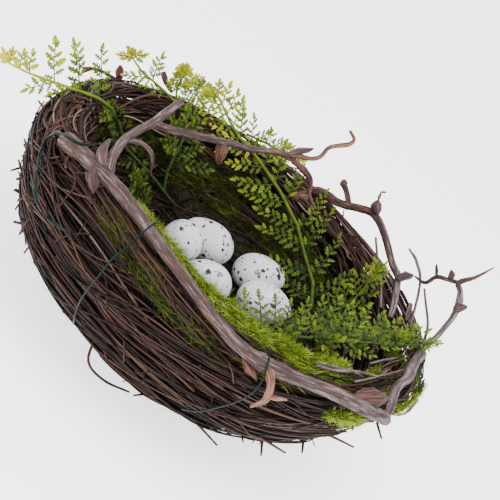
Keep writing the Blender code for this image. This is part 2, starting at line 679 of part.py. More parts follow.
def along_stem(stem, per_span):
    """Points along the straight spans of a stem."""
    nodes = [Vector(point[:3]) for point in stem]
    return [a.lerp(b, step / per_span) for a, b in zip(nodes, nodes[1:]) for step in range(per_span)] + nodes[-1:]


def paired_sprays(stem, facing, count, length, width, lean, first, last):
    """Sprays in pairs up a stem, longest in the lower middle, as (root, tip, width)."""
    route = along_stem(stem, 6)
    facing = Vector(facing).normalized()
    sprays = []
    for index in range(count):
        place = first + (last - first) * index / max(count - 1, 1)
        knot = min(int(place * (len(route) - 1)), len(route) - 2)
        root, way = route[knot], (route[knot + 1] - route[knot]).normalized()
        reach = length * (1 - 0.75 * (index / count) ** 1.5)
        for hand in (-1, 1):
            side = way.cross(facing) * hand
            tip = root + (way * cos(radians(lean)) + side * sin(radians(lean))) * reach
            sprays.append((root, tip + facing * FROND_CURL * reach / length, width * (0.6 + 0.4 * reach / length)))
    return sprays


def rooted(point, route):
    """The nearest point of the stem, unless the leaf grows from another leaf."""
    point = Vector(point)
    near = min(route, key=lambda spot: (spot - point).length)
    return near if (near - point).length < FROND_REACH else point


def build_fern(name, stem, sprays, facing, paired, material):
    fern = tube(name, stem, material, sides=4)
    route = along_stem(stem, 12)
    every = [(rooted(root, route), tip, width) for root, tip, width in sprays]
    for root, tip, width in every + paired_sprays(stem, facing, *paired):
        leaf = spindle("leaf", root, tip, width, FROND_THICKNESS, facing=facing)
        combine(fern, leaf, "UNION")
    shade(fern)


def main():
    bark = finish("bark", (0.34, 0.27, 0.24), 0.8)
    red_bark = finish("red bark", (0.26, 0.09, 0.08), 0.6)
    leaf = finish("fern green", (0.22, 0.36, 0.1), 0.6)
    moss = finish("moss green", (0.3, 0.42, 0.06), 0.95)
    build_nest_wall(finish("dark twig", (0.12, 0.08, 0.065), 0.8))
    build_moss_bed(moss)
    build_moss_strips(moss)
    build_eggs(finish("egg white", (0.86, 0.84, 0.86), 0.55))
    build_rim_branch(bark)
    build_upper_branches(bark)
    build_front_twigs(bark)
    build_back_branches(bark)
    build_right_twigs(bark)
    build_red_twigs(red_bark)
    build_wires(finish("wire green", (0.05, 0.13, 0.1), 0.5))
    for name, fern in FERNS.items():
        build_fern(name, material=leaf, **fern)


clear_scene()
NEST = make_collection("bird nest with eggs")
main()
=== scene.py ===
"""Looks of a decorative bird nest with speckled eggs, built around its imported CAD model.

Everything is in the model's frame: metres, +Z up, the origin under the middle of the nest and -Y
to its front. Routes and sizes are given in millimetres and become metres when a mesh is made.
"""

import logging
import math
from dataclasses import dataclass
from enum import Enum

import bpy
import numpy as np
from mathutils import Matrix, Vector


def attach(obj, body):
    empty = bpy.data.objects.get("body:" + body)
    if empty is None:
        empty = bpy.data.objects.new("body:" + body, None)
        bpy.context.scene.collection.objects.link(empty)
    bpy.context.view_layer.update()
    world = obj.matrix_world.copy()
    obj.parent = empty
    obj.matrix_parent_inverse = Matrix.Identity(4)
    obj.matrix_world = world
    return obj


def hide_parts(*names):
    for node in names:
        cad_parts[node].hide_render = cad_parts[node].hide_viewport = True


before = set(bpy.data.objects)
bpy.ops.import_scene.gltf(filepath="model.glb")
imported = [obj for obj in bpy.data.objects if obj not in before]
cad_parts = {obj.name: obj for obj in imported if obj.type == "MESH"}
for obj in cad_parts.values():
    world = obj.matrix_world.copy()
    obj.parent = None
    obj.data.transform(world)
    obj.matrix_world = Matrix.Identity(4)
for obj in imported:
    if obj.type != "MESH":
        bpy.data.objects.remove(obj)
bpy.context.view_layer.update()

LOG = logging.getLogger("nest")
MM = 0.001
TINY = 1e-6
UV_NAME = "OFBake"
MAP_WIDTH = 0.1  # how wide a tube's flat map is
MAP_PER_MM = 0.01  # and how long, for each millimetre
GRAIN_SHIFT = (7.3, 3.1, 11.7)  # sets the grain of one tube apart from that of the next
SKEW = (0.31, 0.17, 0.93)  # a direction that no path starts in
FLOOR_GAP = 0.05

Array = np.ndarray
Chance = np.random.Generator
Material = bpy.types.Material
Route = tuple[tuple[float, ...], ...]
Span = tuple[float, float]
Spot = tuple[float, float, float]
Colour = tuple[float, float, float]
Stops = tuple[tuple[float, Colour], ...]
Strand = tuple[Array, Array]
Spray = tuple[Array, Array, float, float]
Socket = bpy.types.NodeSocket


# ------------------------ small maths

def linear(red: float, green: float, blue: float) -> tuple[float, float, float, float]:
    """Turns a screen colour into a linear one with full alpha."""
    shares = [((c + 0.055) / 1.055) ** 2.4 if c > 0.04045 else c / 12.92 for c in (red, green, blue)]
    return (*shares, 1.0)


def unit(vectors: Array) -> Array:
    """Scales each vector to length one."""
    return vectors / np.maximum(np.linalg.norm(vectors, axis=-1, keepdims=True), 1e-9)


def unit_one(vector: Array | Spot) -> Array:
    """Scales one vector to length one."""
    return unit(np.asarray(vector, float)[None])[0]


def ripple(spots: Array, seed: int, octaves: int = 3) -> Array:
    """Smooth, repeatable noise between about -1 and 1 at each spot.

    Args:
        spots: Points of any number of dimensions, about one unit per wave.
        seed: Picks the pattern.
        octaves: How many finer layers are added.

    Returns:
        One number for each spot.
    """
    waves, pitch, finer, fainter, gain = 4, 2.2, 2.1, 0.55, 1.6
    rng = np.random.default_rng(seed)
    total, share = np.zeros(len(spots)), 1.0
    for octave in range(octaves):
        for _ in range(waves):
            wave = rng.normal(size=spots.shape[1]) * pitch * finer ** octave
            total += share * np.sin(spots @ wave + rng.uniform(0, math.tau)) / waves
        share *= fainter
    return total * gain


def walked_along(points: Array) -> Array:
    """How far along a path each of its points is."""
    return np.concatenate([[0], np.cumsum(np.linalg.norm(np.diff(points, axis=0), axis=1))])


def smooth_route(route: Route, step: float) -> Array:
    """Points about one step apart on the smooth curve through a given route.

    Args:
        route: Rows of x, y, z and, if given, radius, in millimetres.
        step: The spacing wanted, in millimetres.

    Returns:
        An array with one row for each point.
    """
    per_span = 14
    nodes = np.array(route, float)
    first, last = nodes[:-1], nodes[1:]
    slopes = np.gradient(nodes, axis=0)
    t = np.linspace(0, 1, per_span, endpoint=False)[:, None]
    rows = []
    for index in range(len(first)):
        rows.append(
            first[index] * (2 * t ** 3 - 3 * t ** 2 + 1)
            + slopes[index] * (t ** 3 - 2 * t ** 2 + t)
            + last[index] * (3 * t ** 2 - 2 * t ** 3)
            + slopes[index + 1] * (t ** 3 - t ** 2)
        )
    dense = np.vstack(rows + [nodes[-1:]])
    walked = walked_along(dense[:, :3])
    count = max(3, int(round(walked[-1] / step)) + 1)
    wanted = np.linspace(0, walked[-1], count)
    return np.stack([np.interp(wanted, walked, dense[:, k]) for k in range(dense.shape[1])], axis=1)


def carried_frames(points: Array) -> tuple[Array, Array, Array]:
    """Directions along, across and up at each point of a path, carried along without twist.

    Args:
        points: The path, one row each.

    Returns:
        The three directions, one row for each point.
    """
    along = unit(np.gradient(points, axis=0))
    across = np.empty_like(along)
    start = np.cross(along[0], SKEW)
    across[0] = start / max(np.linalg.norm(start), TINY)
    for index in range(1, len(points)):
        turned = across[index - 1] - along[index] * (across[index - 1] @ along[index])
        across[index] = turned / max(np.linalg.norm(turned), TINY)
    return along, across, np.cross(along, across)


def circle(sides: int) -> Array:
    """Evenly spaced angles once around."""
    return np.arange(sides) / sides * math.tau


def ring_quads(rings: int, around: int, reverse: bool = False) -> Array:
    """Quads between neighbouring rings of vertices.

    Args:
        rings: How many rings there are, one after another.
        around: How many vertices each ring has.
        reverse: Whether the quads face the other way.

    Returns:
        Rows of four vertex numbers.
    """
    rows, cols = np.meshgrid(np.arange(rings - 1), np.arange(around), indexing="ij")
    near = rows * around + cols
    beside = rows * around + (cols + 1) % around
    corners = [near, beside, beside + around, near + around]
    if reverse:
        corners = [near, near + around, beside + around, beside]
    return np.stack(corners, axis=-1).reshape(-1, 4)


def wrapped(along: Array, turn: Array, girth: float = 1.0) -> Array:
    """A spot for each vertex of a tube, for noise that meets itself around the tube.

    Args:
        along: A number for each ring.
        turn: The angle of each side.
        girth: How much the noise changes around the tube.

    Returns:
        One row for each vertex.
    """
    columns = [np.repeat(along, len(turn))]
    for wave in (np.cos(turn), np.sin(turn)):
        columns.append(np.tile(wave * girth, len(along)))
    return np.stack(columns, axis=1)


def over_grid(grid: tuple[int, int], *columns: Array) -> Array:
    """Spreads each value over a grid of rings and sides, and gives one row for each vertex."""
    return np.stack([np.broadcast_to(column, grid) for column in columns], axis=-1).reshape(-1, len(columns))


# ------------------------ mesh gathering

class Soup:
    """Gathers many small shapes, with their colours' tone and grain, into one mesh."""

    def __init__(self) -> None:
        """Starts empty."""
        self.points: list[Array] = []
        self.quads: list[Array] = []
        self.tones: list[Array] = []
        self.flows: list[Array] = []
        self.maps: list[Array] = []
        self.size = 0

    def add(self, points: Array, quads: Array, tone: Array | float, flow: Array,
            flat: Array) -> None:
        """Adds a shape.

        Args:
            points: Its vertices in millimetres.
            quads: Rows of four vertex numbers; a triangle repeats its last one.
            tone: A number from 0 to 1 for the whole shape or for each vertex.
            flow: Where each vertex lies along and around its strand, for grain.
            flat: A flat map position for each vertex.
        """
        self.points.append(points)
        self.quads.append(quads + self.size)
        self.tones.append(np.broadcast_to(np.asarray(tone, float), (len(points),)))
        self.flows.append(flow)
        self.maps.append(flat)
        self.size += len(points)

    def tube(self, points: Array, radii: Array, sides: int, tone: Array | float, seed: float = 0.0,
             shape: Array | None = None) -> None:
        """Adds a tube along points, its ends drawn together.

        Args:
            points: Centres in millimetres, one row each.
            radii: A radius for each centre.
            sides: How many sides it has.
            tone: A number from 0 to 1 for the whole tube or for each centre.
            seed: Sets its grain apart from that of other tubes.
            shape: Factors on the radius, one row for each centre and one column for each side.
        """
        _, across, up = carried_frames(points)
        turn, grid = circle(sides), (len(points), sides)
        ring = across[:, None] * np.cos(turn)[None, :, None] + up[:, None] * np.sin(turn)[None, :, None]
        reach = np.broadcast_to(radii[:, None] * (1.0 if shape is None else shape), grid)
        body = (points[:, None] + ring * reach[:, :, None]).reshape(-1, 3)
        here = np.arange(sides)
        beside = (here + 1) % sides
        first, last, final = np.full(sides, len(body)), np.full(sides, len(body) + 1), len(body) - sides
        quads = np.vstack([
            ring_quads(len(points), sides),
            np.stack([beside, here, first, first], axis=1),
            np.stack([final + here, final + beside, last, last], axis=1),
        ])
        walked, mean = walked_along(points), float(np.mean(radii))
        grain = over_grid(grid, np.cos(turn) * mean, np.sin(turn) * mean, walked[:, None])
        flow = np.vstack([grain, [[0, 0, 0], [0, 0, walked[-1]]]]) + seed * np.array(GRAIN_SHIFT)
        spread = over_grid(grid, turn / math.tau * MAP_WIDTH, walked[:, None] * MAP_PER_MM)
        flat = np.vstack([spread, [[MAP_WIDTH / 2, 0.0], [MAP_WIDTH / 2, walked[-1] * MAP_PER_MM]]])
        if np.ndim(tone) == 1 and len(tone) == len(points):
            tone = np.concatenate([np.repeat(tone, sides), tone[:1], tone[-1:]])
        self.add(np.vstack([body, points[:1], points[-1:]]), quads, tone, flow, flat)

    def twig(self, route: Route, step: float, sides: int, tone: float, seed: float) -> None:
        """Adds a tube along the smooth curve through a route that gives its radius.

        Args:
            route: Rows of x, y, z and radius.
            step: Room between its centres.
            sides: How many sides it has.
            tone: Its tone.
            seed: Sets its grain apart from that of other tubes.
        """
        points = smooth_route(route, step)
        self.tube(points[:, :3], points[:, 3], sides, tone, seed)

    def make(self, name: str, material: Material, nodes: tuple[str, ...], slot: str,
             smooth: bool = True) -> None:
        """Makes the mesh, and hides the CAD nodes it stands for.

        Args:
            name: The piece's name.
            material: Its finish.
            nodes: The CAD nodes that it replaces, if any.
            slot: Not used.
            smooth: Whether it is shaded smooth.
        """
        points = np.vstack(self.points) * MM
        quads = np.vstack(self.quads)
        sizes = np.where(quads[:, 2] == quads[:, 3], 3, 4)
        loops = quads[np.arange(4)[None, :] < sizes[:, None]]
        starts = np.concatenate([[0], np.cumsum(sizes)[:-1]])
        mesh = bpy.data.meshes.new(name)
        mesh.vertices.add(len(points))
        mesh.vertices.foreach_set("co", points.ravel())
        mesh.loops.add(len(loops))
        mesh.loops.foreach_set("vertex_index", loops.astype(np.int32))
        mesh.polygons.add(len(sizes))
        mesh.polygons.foreach_set("loop_start", starts.astype(np.int32))
        mesh.update(calc_edges=True)
        mesh.validate()
        self.dress(mesh)
        mesh.polygons.foreach_set("use_smooth", np.full(len(mesh.polygons), smooth))
        mesh.materials.append(material)
        piece = bpy.data.objects.new(name, mesh)
        bpy.context.scene.collection.objects.link(piece)
        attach(piece, "root")
        if nodes:
            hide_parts(*nodes)
        LOG.info("%s: %d triangles", name, int((sizes - 2).sum()))

    def dress(self, mesh: bpy.types.Mesh) -> None:
        """Gives a mesh its flat map and the tone and flow that its finish reads.

        Args:
            mesh: The mesh, made from the gathered vertices.
        """
        flat = np.vstack(self.maps)
        flat = (flat - flat.min(axis=0)) / np.maximum(np.ptp(flat, axis=0), TINY)
        corners = np.zeros(len(mesh.loops), np.int32)
        mesh.loops.foreach_get("vertex_index", corners)
        mesh.uv_layers.new(name=UV_NAME).data.foreach_set("uv", flat[corners].ravel())
        tone = mesh.attributes.new("tone", "FLOAT", "POINT")
        tone.data.foreach_set("value", np.concatenate(self.tones))
        flow = mesh.attributes.new("flow", "FLOAT_VECTOR", "POINT")
        flow.data.foreach_set("vector", np.vstack(self.flows).ravel())


# ------------------------ finishes

class Painter:
    """Builds one node material around its Principled shader."""

    def __init__(self, name: str, roughness: float, specular: float) -> None:
        """Starts a material.

        Args:
            name: The material's name.
            roughness: How dull it is.
            specular: How strongly it shines.
        """
        self.material = bpy.data.materials.new(name)
        self.material.use_nodes = True
        self.nodes = self.material.node_tree.nodes
        self.links = self.material.node_tree.links
        self.shader = self.nodes["Principled BSDF"]
        self.shader.inputs["Roughness"].default_value = roughness
        self.shader.inputs["Specular IOR Level"].default_value = specular

    def node(self, kind: str, **inputs: object) -> bpy.types.Node:
        """Adds a node and sets or links its inputs by name.

        Args:
            kind: Its type.
            inputs: A value or a socket for each, with _ for a space.

        Returns:
            The node.
        """
        node = self.nodes.new(kind)
        for name, value in inputs.items():
            self.feed(node.inputs[name.replace("_", " ")], value)
        return node

    def feed(self, socket: Socket, value: object) -> None:
        """Links a socket, or sets its value.

        Args:
            socket: The socket.
            value: Its value, or the socket that it is linked to.
        """
        if isinstance(value, Socket):
            self.links.new(value, socket)
        else:
            socket.default_value = value

    def attribute(self, name: str, output: str) -> Socket:
        """Reads a mesh attribute.

        Args:
            name: The attribute's name.
            output: The output that is read.

        Returns:
            That output.
        """
        node = self.nodes.new("ShaderNodeAttribute")
        node.attribute_name = name
        return node.outputs[output]

    def tone(self) -> Socket:
        """Reads the mesh's tone."""
        return self.attribute("tone", "Fac")

    def flow(self) -> Socket:
        """Reads where the surface lies along and around its strand."""
        return self.attribute("flow", "Vector")

    def operate(self, kind: str, operation: str, *values: object) -> Socket:
        """Adds a node that works out one result from values or sockets.

        Args:
            kind: Its type.
            operation: What it does with them.
            values: Its inputs, in order.

        Returns:
            The result.
        """
        node = self.nodes.new(kind)
        node.operation = operation
        for socket, value in zip(node.inputs, values):
            self.feed(socket, value)
        return node.outputs[0]

    def scaled(self, vector: Socket, factors: Spot) -> Socket:
        """Stretches a vector."""
        return self.operate("ShaderNodeVectorMath", "MULTIPLY", vector, factors)

    def noise(self, vector: Socket, scale: float, detail: float = 3.0, rough: float = 0.6) -> Socket:
        """Noise between 0 and 1 at a vector."""
        node = self.node("ShaderNodeTexNoise", Vector=vector, Scale=scale, Detail=detail, Roughness=rough)
        return node.outputs["Fac"]

    def ramp(self, value: Socket, stops: Stops) -> Socket:
        """Turns a value into a colour through stops of (place, screen colour).

        Args:
            value: The value.
            stops: The stops, in order.

        Returns:
            The colour.
        """
        node = self.nodes.new("ShaderNodeValToRGB")
        self.feed(node.inputs[0], value)
        bar = node.color_ramp.elements
        while len(bar) < len(stops):
            bar.new(0.5)
        for stop, (place, colour) in zip(bar, stops):
            stop.position = place
            stop.color = linear(*colour)
        return node.outputs[0]

    def step(self, value: Socket, low: float, high: float) -> Socket:
        """A soft step from 0 at low to 1 at high."""
        node = self.node("ShaderNodeMapRange", Value=value, From_Min=low, From_Max=high)
        return node.outputs[0]

    def maths(self, operation: str, a: object, b: object) -> Socket:
        """One sum of two values."""
        return self.operate("ShaderNodeMath", operation, a, b)

    def plus(self, a: object, b: object) -> Socket:
        """Adds two values."""
        return self.maths("ADD", a, b)

    def minus(self, a: object, b: object) -> Socket:
        """Takes the second value from the first."""
        return self.maths("SUBTRACT", a, b)

    def times(self, a: object, b: object) -> Socket:
        """Multiplies two values."""
        return self.maths("MULTIPLY", a, b)

    def swayed(self, value: Socket, noise: Socket, width: float) -> Socket:
        """Moves a value up and down by noise, over a band of this width."""
        return self.plus(value, self.times(self.minus(noise, 0.5), width))

    def mix(self, share: object, a: object, b: object) -> Socket:
        """Mixes two colours.

        Args:
            share: The share of the second.
            a: The first.
            b: The second.

        Returns:
            The mixture.
        """
        node = self.nodes.new("ShaderNodeMix")
        node.data_type = "RGBA"
        self.feed(node.inputs[0], share)
        self.feed(node.inputs[6], a)
        self.feed(node.inputs[7], b)
        return node.outputs[2]

    def bump(self, height: Socket, distance: float, strength: float) -> None:
        """Raises the surface by a height, distance in millimetres."""
        node = self.node("ShaderNodeBump", Height=height, Strength=strength, Distance=distance * MM)
        self.links.new(node.outputs[0], self.shader.inputs["Normal"])

    def colour(self, value: object) -> None:
        """Sets the base colour."""
        self.feed(self.shader.inputs["Base Color"], value)

    def roughness(self, value: Socket) -> None:
        """Links the roughness."""
        self.feed(self.shader.inputs["Roughness"], value)


@dataclass(frozen=True)
class TwigFinish:
    """Thin, dark, dry twig with a dull shine.

    Attributes:
        name: The material's name.
        stops: Colours by a strand's tone.
        streaks: Stretch of the long streaks, around a twig and along it.
        flecks: Stretch of the worn flecks.
        worn: Colour of the flecks.
        crack: Colour of the cracks.
    """

    name: str
    stops: Stops
    streaks: Spot = (0.8, 0.8, 0.09)
    flecks: Spot = (0.9, 0.9, 0.5)
    worn: Colour = (0.40, 0.30, 0.26)
    crack: Colour = (0.05, 0.03, 0.025)

    def build(self) -> Material:
        """Makes the material.

        Returns:
            The material.
        """
        paint = Painter(self.name, roughness=0.6, specular=0.09)
        flow = paint.flow()
        streak = paint.noise(paint.scaled(flow, self.streaks), scale=1.4, detail=4.0)
        fleck = paint.noise(paint.scaled(flow, self.flecks), scale=2.2, detail=2.0)
        base = paint.ramp(paint.swayed(paint.tone(), streak, width=0.4), self.stops)
        share = paint.times(paint.step(fleck, low=0.62, high=0.74), 0.3)
        worn = paint.mix(share, base, linear(*self.worn))
        paint.colour(paint.mix(paint.step(streak, low=0.32, high=0.20), worn, linear(*self.crack)))
        paint.roughness(paint.step(streak, low=-0.9, high=1.7))
        paint.bump(streak, distance=0.5, strength=0.7)
        return paint.material


@dataclass(frozen=True)
class BarkFinish:
    """Weathered bark whose colour runs from grey skin to red-brown with its tone, streaked lengthwise.

    Attributes:
        name: The material's name.
        skin: Colours by tone.
        peeled: Colour of the fine pale streaks.
        crack: Colour of the cracks.
        streaks: Stretch of the broad streaks, around a branch and along it.
        threads: Stretch of the fine threads.
        patches: Stretch of the patches that change the tone.
        pits: Stretch of the pits that break up the pale streaks.
    """

    name: str
    skin: Stops
    peeled: Colour
    crack: Colour
    streaks: Spot = (0.62, 0.62, 0.075)
    threads: Spot = (1.4, 1.4, 0.09)
    patches: Spot = (0.24, 0.24, 0.08)
    pits: Spot = (1.5, 1.5, 0.9)

    def build(self) -> Material:
        """Makes the material.

        Returns:
            The material.
        """
        paint = Painter(self.name, roughness=0.7, specular=0.4)
        flow = paint.flow()
        streak = paint.noise(paint.scaled(flow, self.streaks), scale=1.0, detail=5.0, rough=0.62)
        thread = paint.noise(paint.scaled(flow, self.threads), scale=1.0)
        patch = paint.noise(paint.scaled(flow, self.patches), scale=1.0)
        pits = paint.noise(paint.scaled(flow, self.pits), scale=1.0, detail=2.0)
        tone = paint.swayed(paint.tone(), patch, width=0.9)
        skin = paint.ramp(paint.swayed(tone, streak, width=0.5), self.skin)
        pale = paint.times(paint.step(streak, low=0.52, high=0.60), paint.step(pits, low=0.32, high=0.46))
        pale = paint.times(pale, paint.step(tone, low=0.85, high=0.15))
        lit = paint.mix(paint.times(pale, 0.6), skin, linear(*self.peeled))
        seams = paint.times(paint.step(streak, low=0.46, high=0.38), 0.85)
        dark = paint.maths("MAXIMUM", paint.step(thread, low=0.48, high=0.40), seams)
        paint.colour(paint.mix(paint.times(dark, 0.82), lit, linear(*self.crack)))
        paint.bump(paint.plus(streak, paint.times(thread, 0.5)), distance=1.0, strength=0.8)
        return paint.material


@dataclass(frozen=True)
class LeafFinish:
    """Foliage, or lacquered wire, whose colour runs from old to young with its tone.

    Attributes:
        name: The material's name.
        stops: Colours by tone.
        roughness: How dull it is.
        glow: The share of light that passes through a blade.
        deep: How far red, green and blue light pass through.
    """

    name: str
    stops: Stops
    roughness: float
    glow: float
    deep: Spot = (0.6, 1.0, 0.2)

    def build(self) -> Material:
        """Makes the material.

        Returns:
            The material.
        """
        paint = Painter(self.name, self.roughness, specular=0.1)
        place = paint.node("ShaderNodeTexCoord").outputs["Object"]
        patch = paint.noise(place, scale=220.0)
        paint.colour(paint.ramp(paint.swayed(paint.tone(), patch, width=0.5), self.stops))
        paint.bump(paint.noise(place, scale=900.0, detail=2.0), distance=0.2, strength=0.5)
        paint.shader.inputs["Subsurface Weight"].default_value = self.glow
        paint.shader.inputs["Subsurface Radius"].default_value = self.deep
        paint.shader.inputs["Subsurface Scale"].default_value = 2.0 * MM
        return paint.material


@dataclass(frozen=True)
class EggFinish:
    """Chalky white shell with dark speckles and a few soft grey-brown blotches.

    Attributes:
        name: The material's name.
        chalk: Colours of the shell.
        blotch: Colour of the blotches.
        speck: Colour of the speckles.
        fine: Colour of the finest speckles.
        shake: How far a spot's edge is pushed about, in millimetres.
        edge: How soft a spot's edge is, as a share of a cell.
    """

    name: str
    chalk: Stops = ((0.3, (0.76, 0.745, 0.78)), (0.7, (0.83, 0.82, 0.845)))
    blotch: Colour = (0.22, 0.20, 0.20)
    speck: Colour = (0.13, 0.11, 0.12)
    fine: Colour = (0.22, 0.19, 0.20)
    shake: float = 2.9
    edge: float = 0.05

    def spots(self, paint: Painter, vector: Socket, scale: float, share: object, size: float) -> Socket:
        """Round-edged spots in some of the cells of a cell pattern.

        Args:
            paint: The material being made.
            vector: Where on the shell.
            scale: Cells for each millimetre.
            share: The part of the cells that have a spot.
            size: The spot's radius as a share of a cell.

        Returns:
            One inside a spot and nought outside it.
        """
        wobble = paint.node("ShaderNodeTexNoise", Vector=vector, Scale=0.55, Detail=4.0).outputs["Color"]
        shaken = paint.operate("ShaderNodeVectorMath", "MULTIPLY_ADD", wobble, (self.shake,) * 3, vector)
        cells = paint.node("ShaderNodeTexVoronoi", Vector=shaken, Scale=scale)
        lot = paint.node("ShaderNodeSeparateColor", Color=cells.outputs["Color"])
        chosen = paint.step(paint.minus(lot.outputs[0], share), low=0.001, high=0.0)
        reach = paint.times(paint.times(lot.outputs[1], lot.outputs[1]), size)
        inside = paint.step(paint.minus(cells.outputs["Distance"], reach), low=self.edge, high=0.0)
        return paint.times(chosen, inside)

    def build(self) -> Material:
        """Makes the material.

        Returns:
            The material.
        """
        paint = Painter(self.name, roughness=0.62, specular=0.3)
        flow = paint.flow()
        chalk = paint.ramp(paint.noise(flow, scale=0.12, detail=2.0), self.chalk)
        near = paint.tone()
        blotched = paint.times(paint.times(near, near), 0.85)
        blotch = self.spots(paint, flow, scale=0.15, share=blotched, size=0.62)
        soft = paint.times(blotch, paint.step(paint.noise(flow, scale=0.8), low=0.36, high=0.46))
        faded = paint.mix(paint.times(soft, 0.8), chalk, linear(*self.blotch))
        speckled = paint.plus(paint.times(near, 0.45), 0.35)
        speck = self.spots(paint, flow, scale=0.26, share=speckled, size=0.52)
        spotted = paint.mix(speck, faded, linear(*self.speck))
        fine = self.spots(paint, paint.scaled(flow, (1.0, 1.0, 1.1)), scale=0.5, share=0.42, size=0.42)
        paint.colour(paint.mix(fine, spotted, linear(*self.fine)))
        paint.bump(paint.noise(flow, scale=2.2, detail=4.0), distance=0.12, strength=0.6)
        return paint.material


class Finishes:
    """Every material of the nest."""

    def __init__(self) -> None:
        """Makes the materials, with stops of (tone, screen colour)."""
        self.twig = TwigFinish("dark_twig", (
            (0.05, (0.05, 0.034, 0.03)), (0.25, (0.13, 0.088, 0.08)), (0.45, (0.21, 0.148, 0.13)),
            (0.65, (0.30, 0.20, 0.168)), (0.82, (0.33, 0.26, 0.235)), (1.0, (0.48, 0.41, 0.38)),
        )).build()
        # painted shade: this near-black twig finish stands in for the shade deep in the wall and between the
        # moss blades
        self.core = TwigFinish("painted_shade_twig", (
            (0.0, (0.02, 0.012, 0.01)), (1.0, (0.06, 0.035, 0.03)),
        )).build()
        self.bark = BarkFinish("grey_bark", (
            (0.0, (0.38, 0.33, 0.34)), (0.25, (0.29, 0.21, 0.20)), (0.5, (0.22, 0.12, 0.095)),
            (0.75, (0.37, 0.215, 0.16)), (1.0, (0.55, 0.39, 0.31)),
        ), peeled=(0.60, 0.53, 0.54), crack=(0.07, 0.035, 0.03)).build()
        self.red_bark = BarkFinish("red_bark", (
            (0.0, (0.20, 0.06, 0.06)), (0.5, (0.33, 0.09, 0.08)), (1.0, (0.40, 0.15, 0.11)),
        ), peeled=(0.42, 0.20, 0.16), crack=(0.10, 0.03, 0.03)).build()
        self.fern = LeafFinish("fern_green", (
            (0.0, (0.09, 0.125, 0.075)), (0.3, (0.20, 0.27, 0.095)), (0.55, (0.33, 0.40, 0.085)),
            (0.8, (0.50, 0.53, 0.08)), (1.0, (0.70, 0.66, 0.11)),
        ), roughness=0.5, glow=0.12).build()
        self.moss = LeafFinish("moss_green", (
            (0.0, (0.07, 0.08, 0.035)), (0.3, (0.21, 0.235, 0.075)), (0.6, (0.375, 0.465, 0.08)),
            (0.85, (0.58, 0.68, 0.16)), (1.0, (0.73, 0.76, 0.38)),
        ), roughness=0.8, glow=0.1).build()
        self.egg = EggFinish("speckled_shell").build()
        self.wire = LeafFinish("wire_green", (
            (0.0, (0.02, 0.075, 0.065)), (1.0, (0.055, 0.14, 0.125)),
        ), roughness=0.35, glow=0.0).build()


# ------------------------ the nest's shape

@dataclass(frozen=True)
class Bowl:
    """The nest's wall as one outline from the floor's middle over the rim to the base.

    Attributes:
        outline: Radius and height of each of its points.
        rim_index: The point that is the rim.
        oval: How much wider than deep the nest is.
        shift: How far its middle is drawn to the left at most.
        height: Over this height the shift swells and fades.
        lift_bearing: Where the rim is lifted most.
        lift_spread: How far to each side of it the lift goes.
        lift_from: The height at which the lift starts.
        lift_over: The height over which it grows to its full size.
        rim_lift: How far the rim is lifted.
        rim_pull: How far the lifted rim is drawn in.
        slope_reach: How far ahead and back the slope of the outline is read.
    """

    outline: tuple[Span, ...] = (
        (0, 26), (50, 26), (70, 33), (84, 46), (93, 60), (98, 74), (101, 84), (105, 91), (111, 94), (119, 90),
        (124, 82), (121, 70), (115, 56), (106, 40), (90, 25), (68, 12), (55, 4), (44, 0.3), (0, 0.3),
    )
    rim_index: int = 8
    oval: float = 1.05
    shift: float = 3.6
    height: float = 95
    lift_bearing: float = math.radians(244)
    lift_spread: float = math.radians(55)
    lift_from: float = 60
    lift_over: float = 34
    rim_lift: float = 7.0
    rim_pull: float = 3.0
    slope_reach: float = 4

    def lengths(self) -> Array:
        """How far along the outline each of its points is."""
        return walked_along(np.array(self.outline, float))

    def rim(self) -> float:
        """How far along the outline the rim is."""
        return float(self.lengths()[self.rim_index])

    def settle(self, points: Array) -> Array:
        """Moves points of the round bowl to the oval, lopsided nest.

        Args:
            points: Points of the round bowl.

        Returns:
            The moved points.
        """
        x, y, z = points[:, 0], points[:, 1], points[:, 2]
        radius = np.maximum(np.hypot(x, y), TINY)
        off = (np.arctan2(y, x) - self.lift_bearing + math.pi) % math.tau - math.pi
        near = np.cos(np.minimum(np.abs(off) / self.lift_spread, 1.0) * math.pi / 2) ** 2
        t = np.clip((z - self.lift_from) / self.lift_over, 0, 1)
        rise = near * t * t * (3 - 2 * t)
        drawn = 1 - self.rim_pull * rise / radius
        lean = self.shift * np.sin(math.pi * np.clip(z, 0, self.height) / self.height)
        return np.stack([x * drawn * self.oval - lean, y * drawn, z + self.rim_lift * rise], axis=1)

    def at(self, place: Array, bearing: Array, depth: Array) -> Array:
        """Points on the wall.

        Args:
            place: How far along the outline, in millimetres.
            bearing: The angle around the nest, in radians.
            depth: How far off the surface, outward.

        Returns:
            The points in millimetres.
        """
        spots, marks = np.array(self.outline, float), self.lengths()
        r, z = (np.interp(place, marks, spots[:, k]) for k in (0, 1))
        ahead, back = place + self.slope_reach, place - self.slope_reach
        dr, dz = (np.interp(ahead, marks, spots[:, k]) - np.interp(back, marks, spots[:, k]) for k in (0, 1))
        size = np.maximum(np.hypot(dr, dz), TINY)
        r, z = r - dz / size * depth, z + dr / size * depth
        return self.settle(np.stack([r * np.cos(bearing), r * np.sin(bearing), z], axis=1))


BOWL = Bowl()


class Side(Enum):
    """Which part of the wall a bundle of twigs is wound on."""

    UNDER = "under"
    OUTER = "outer"
    INNER = "inner"
    BASE = "base"


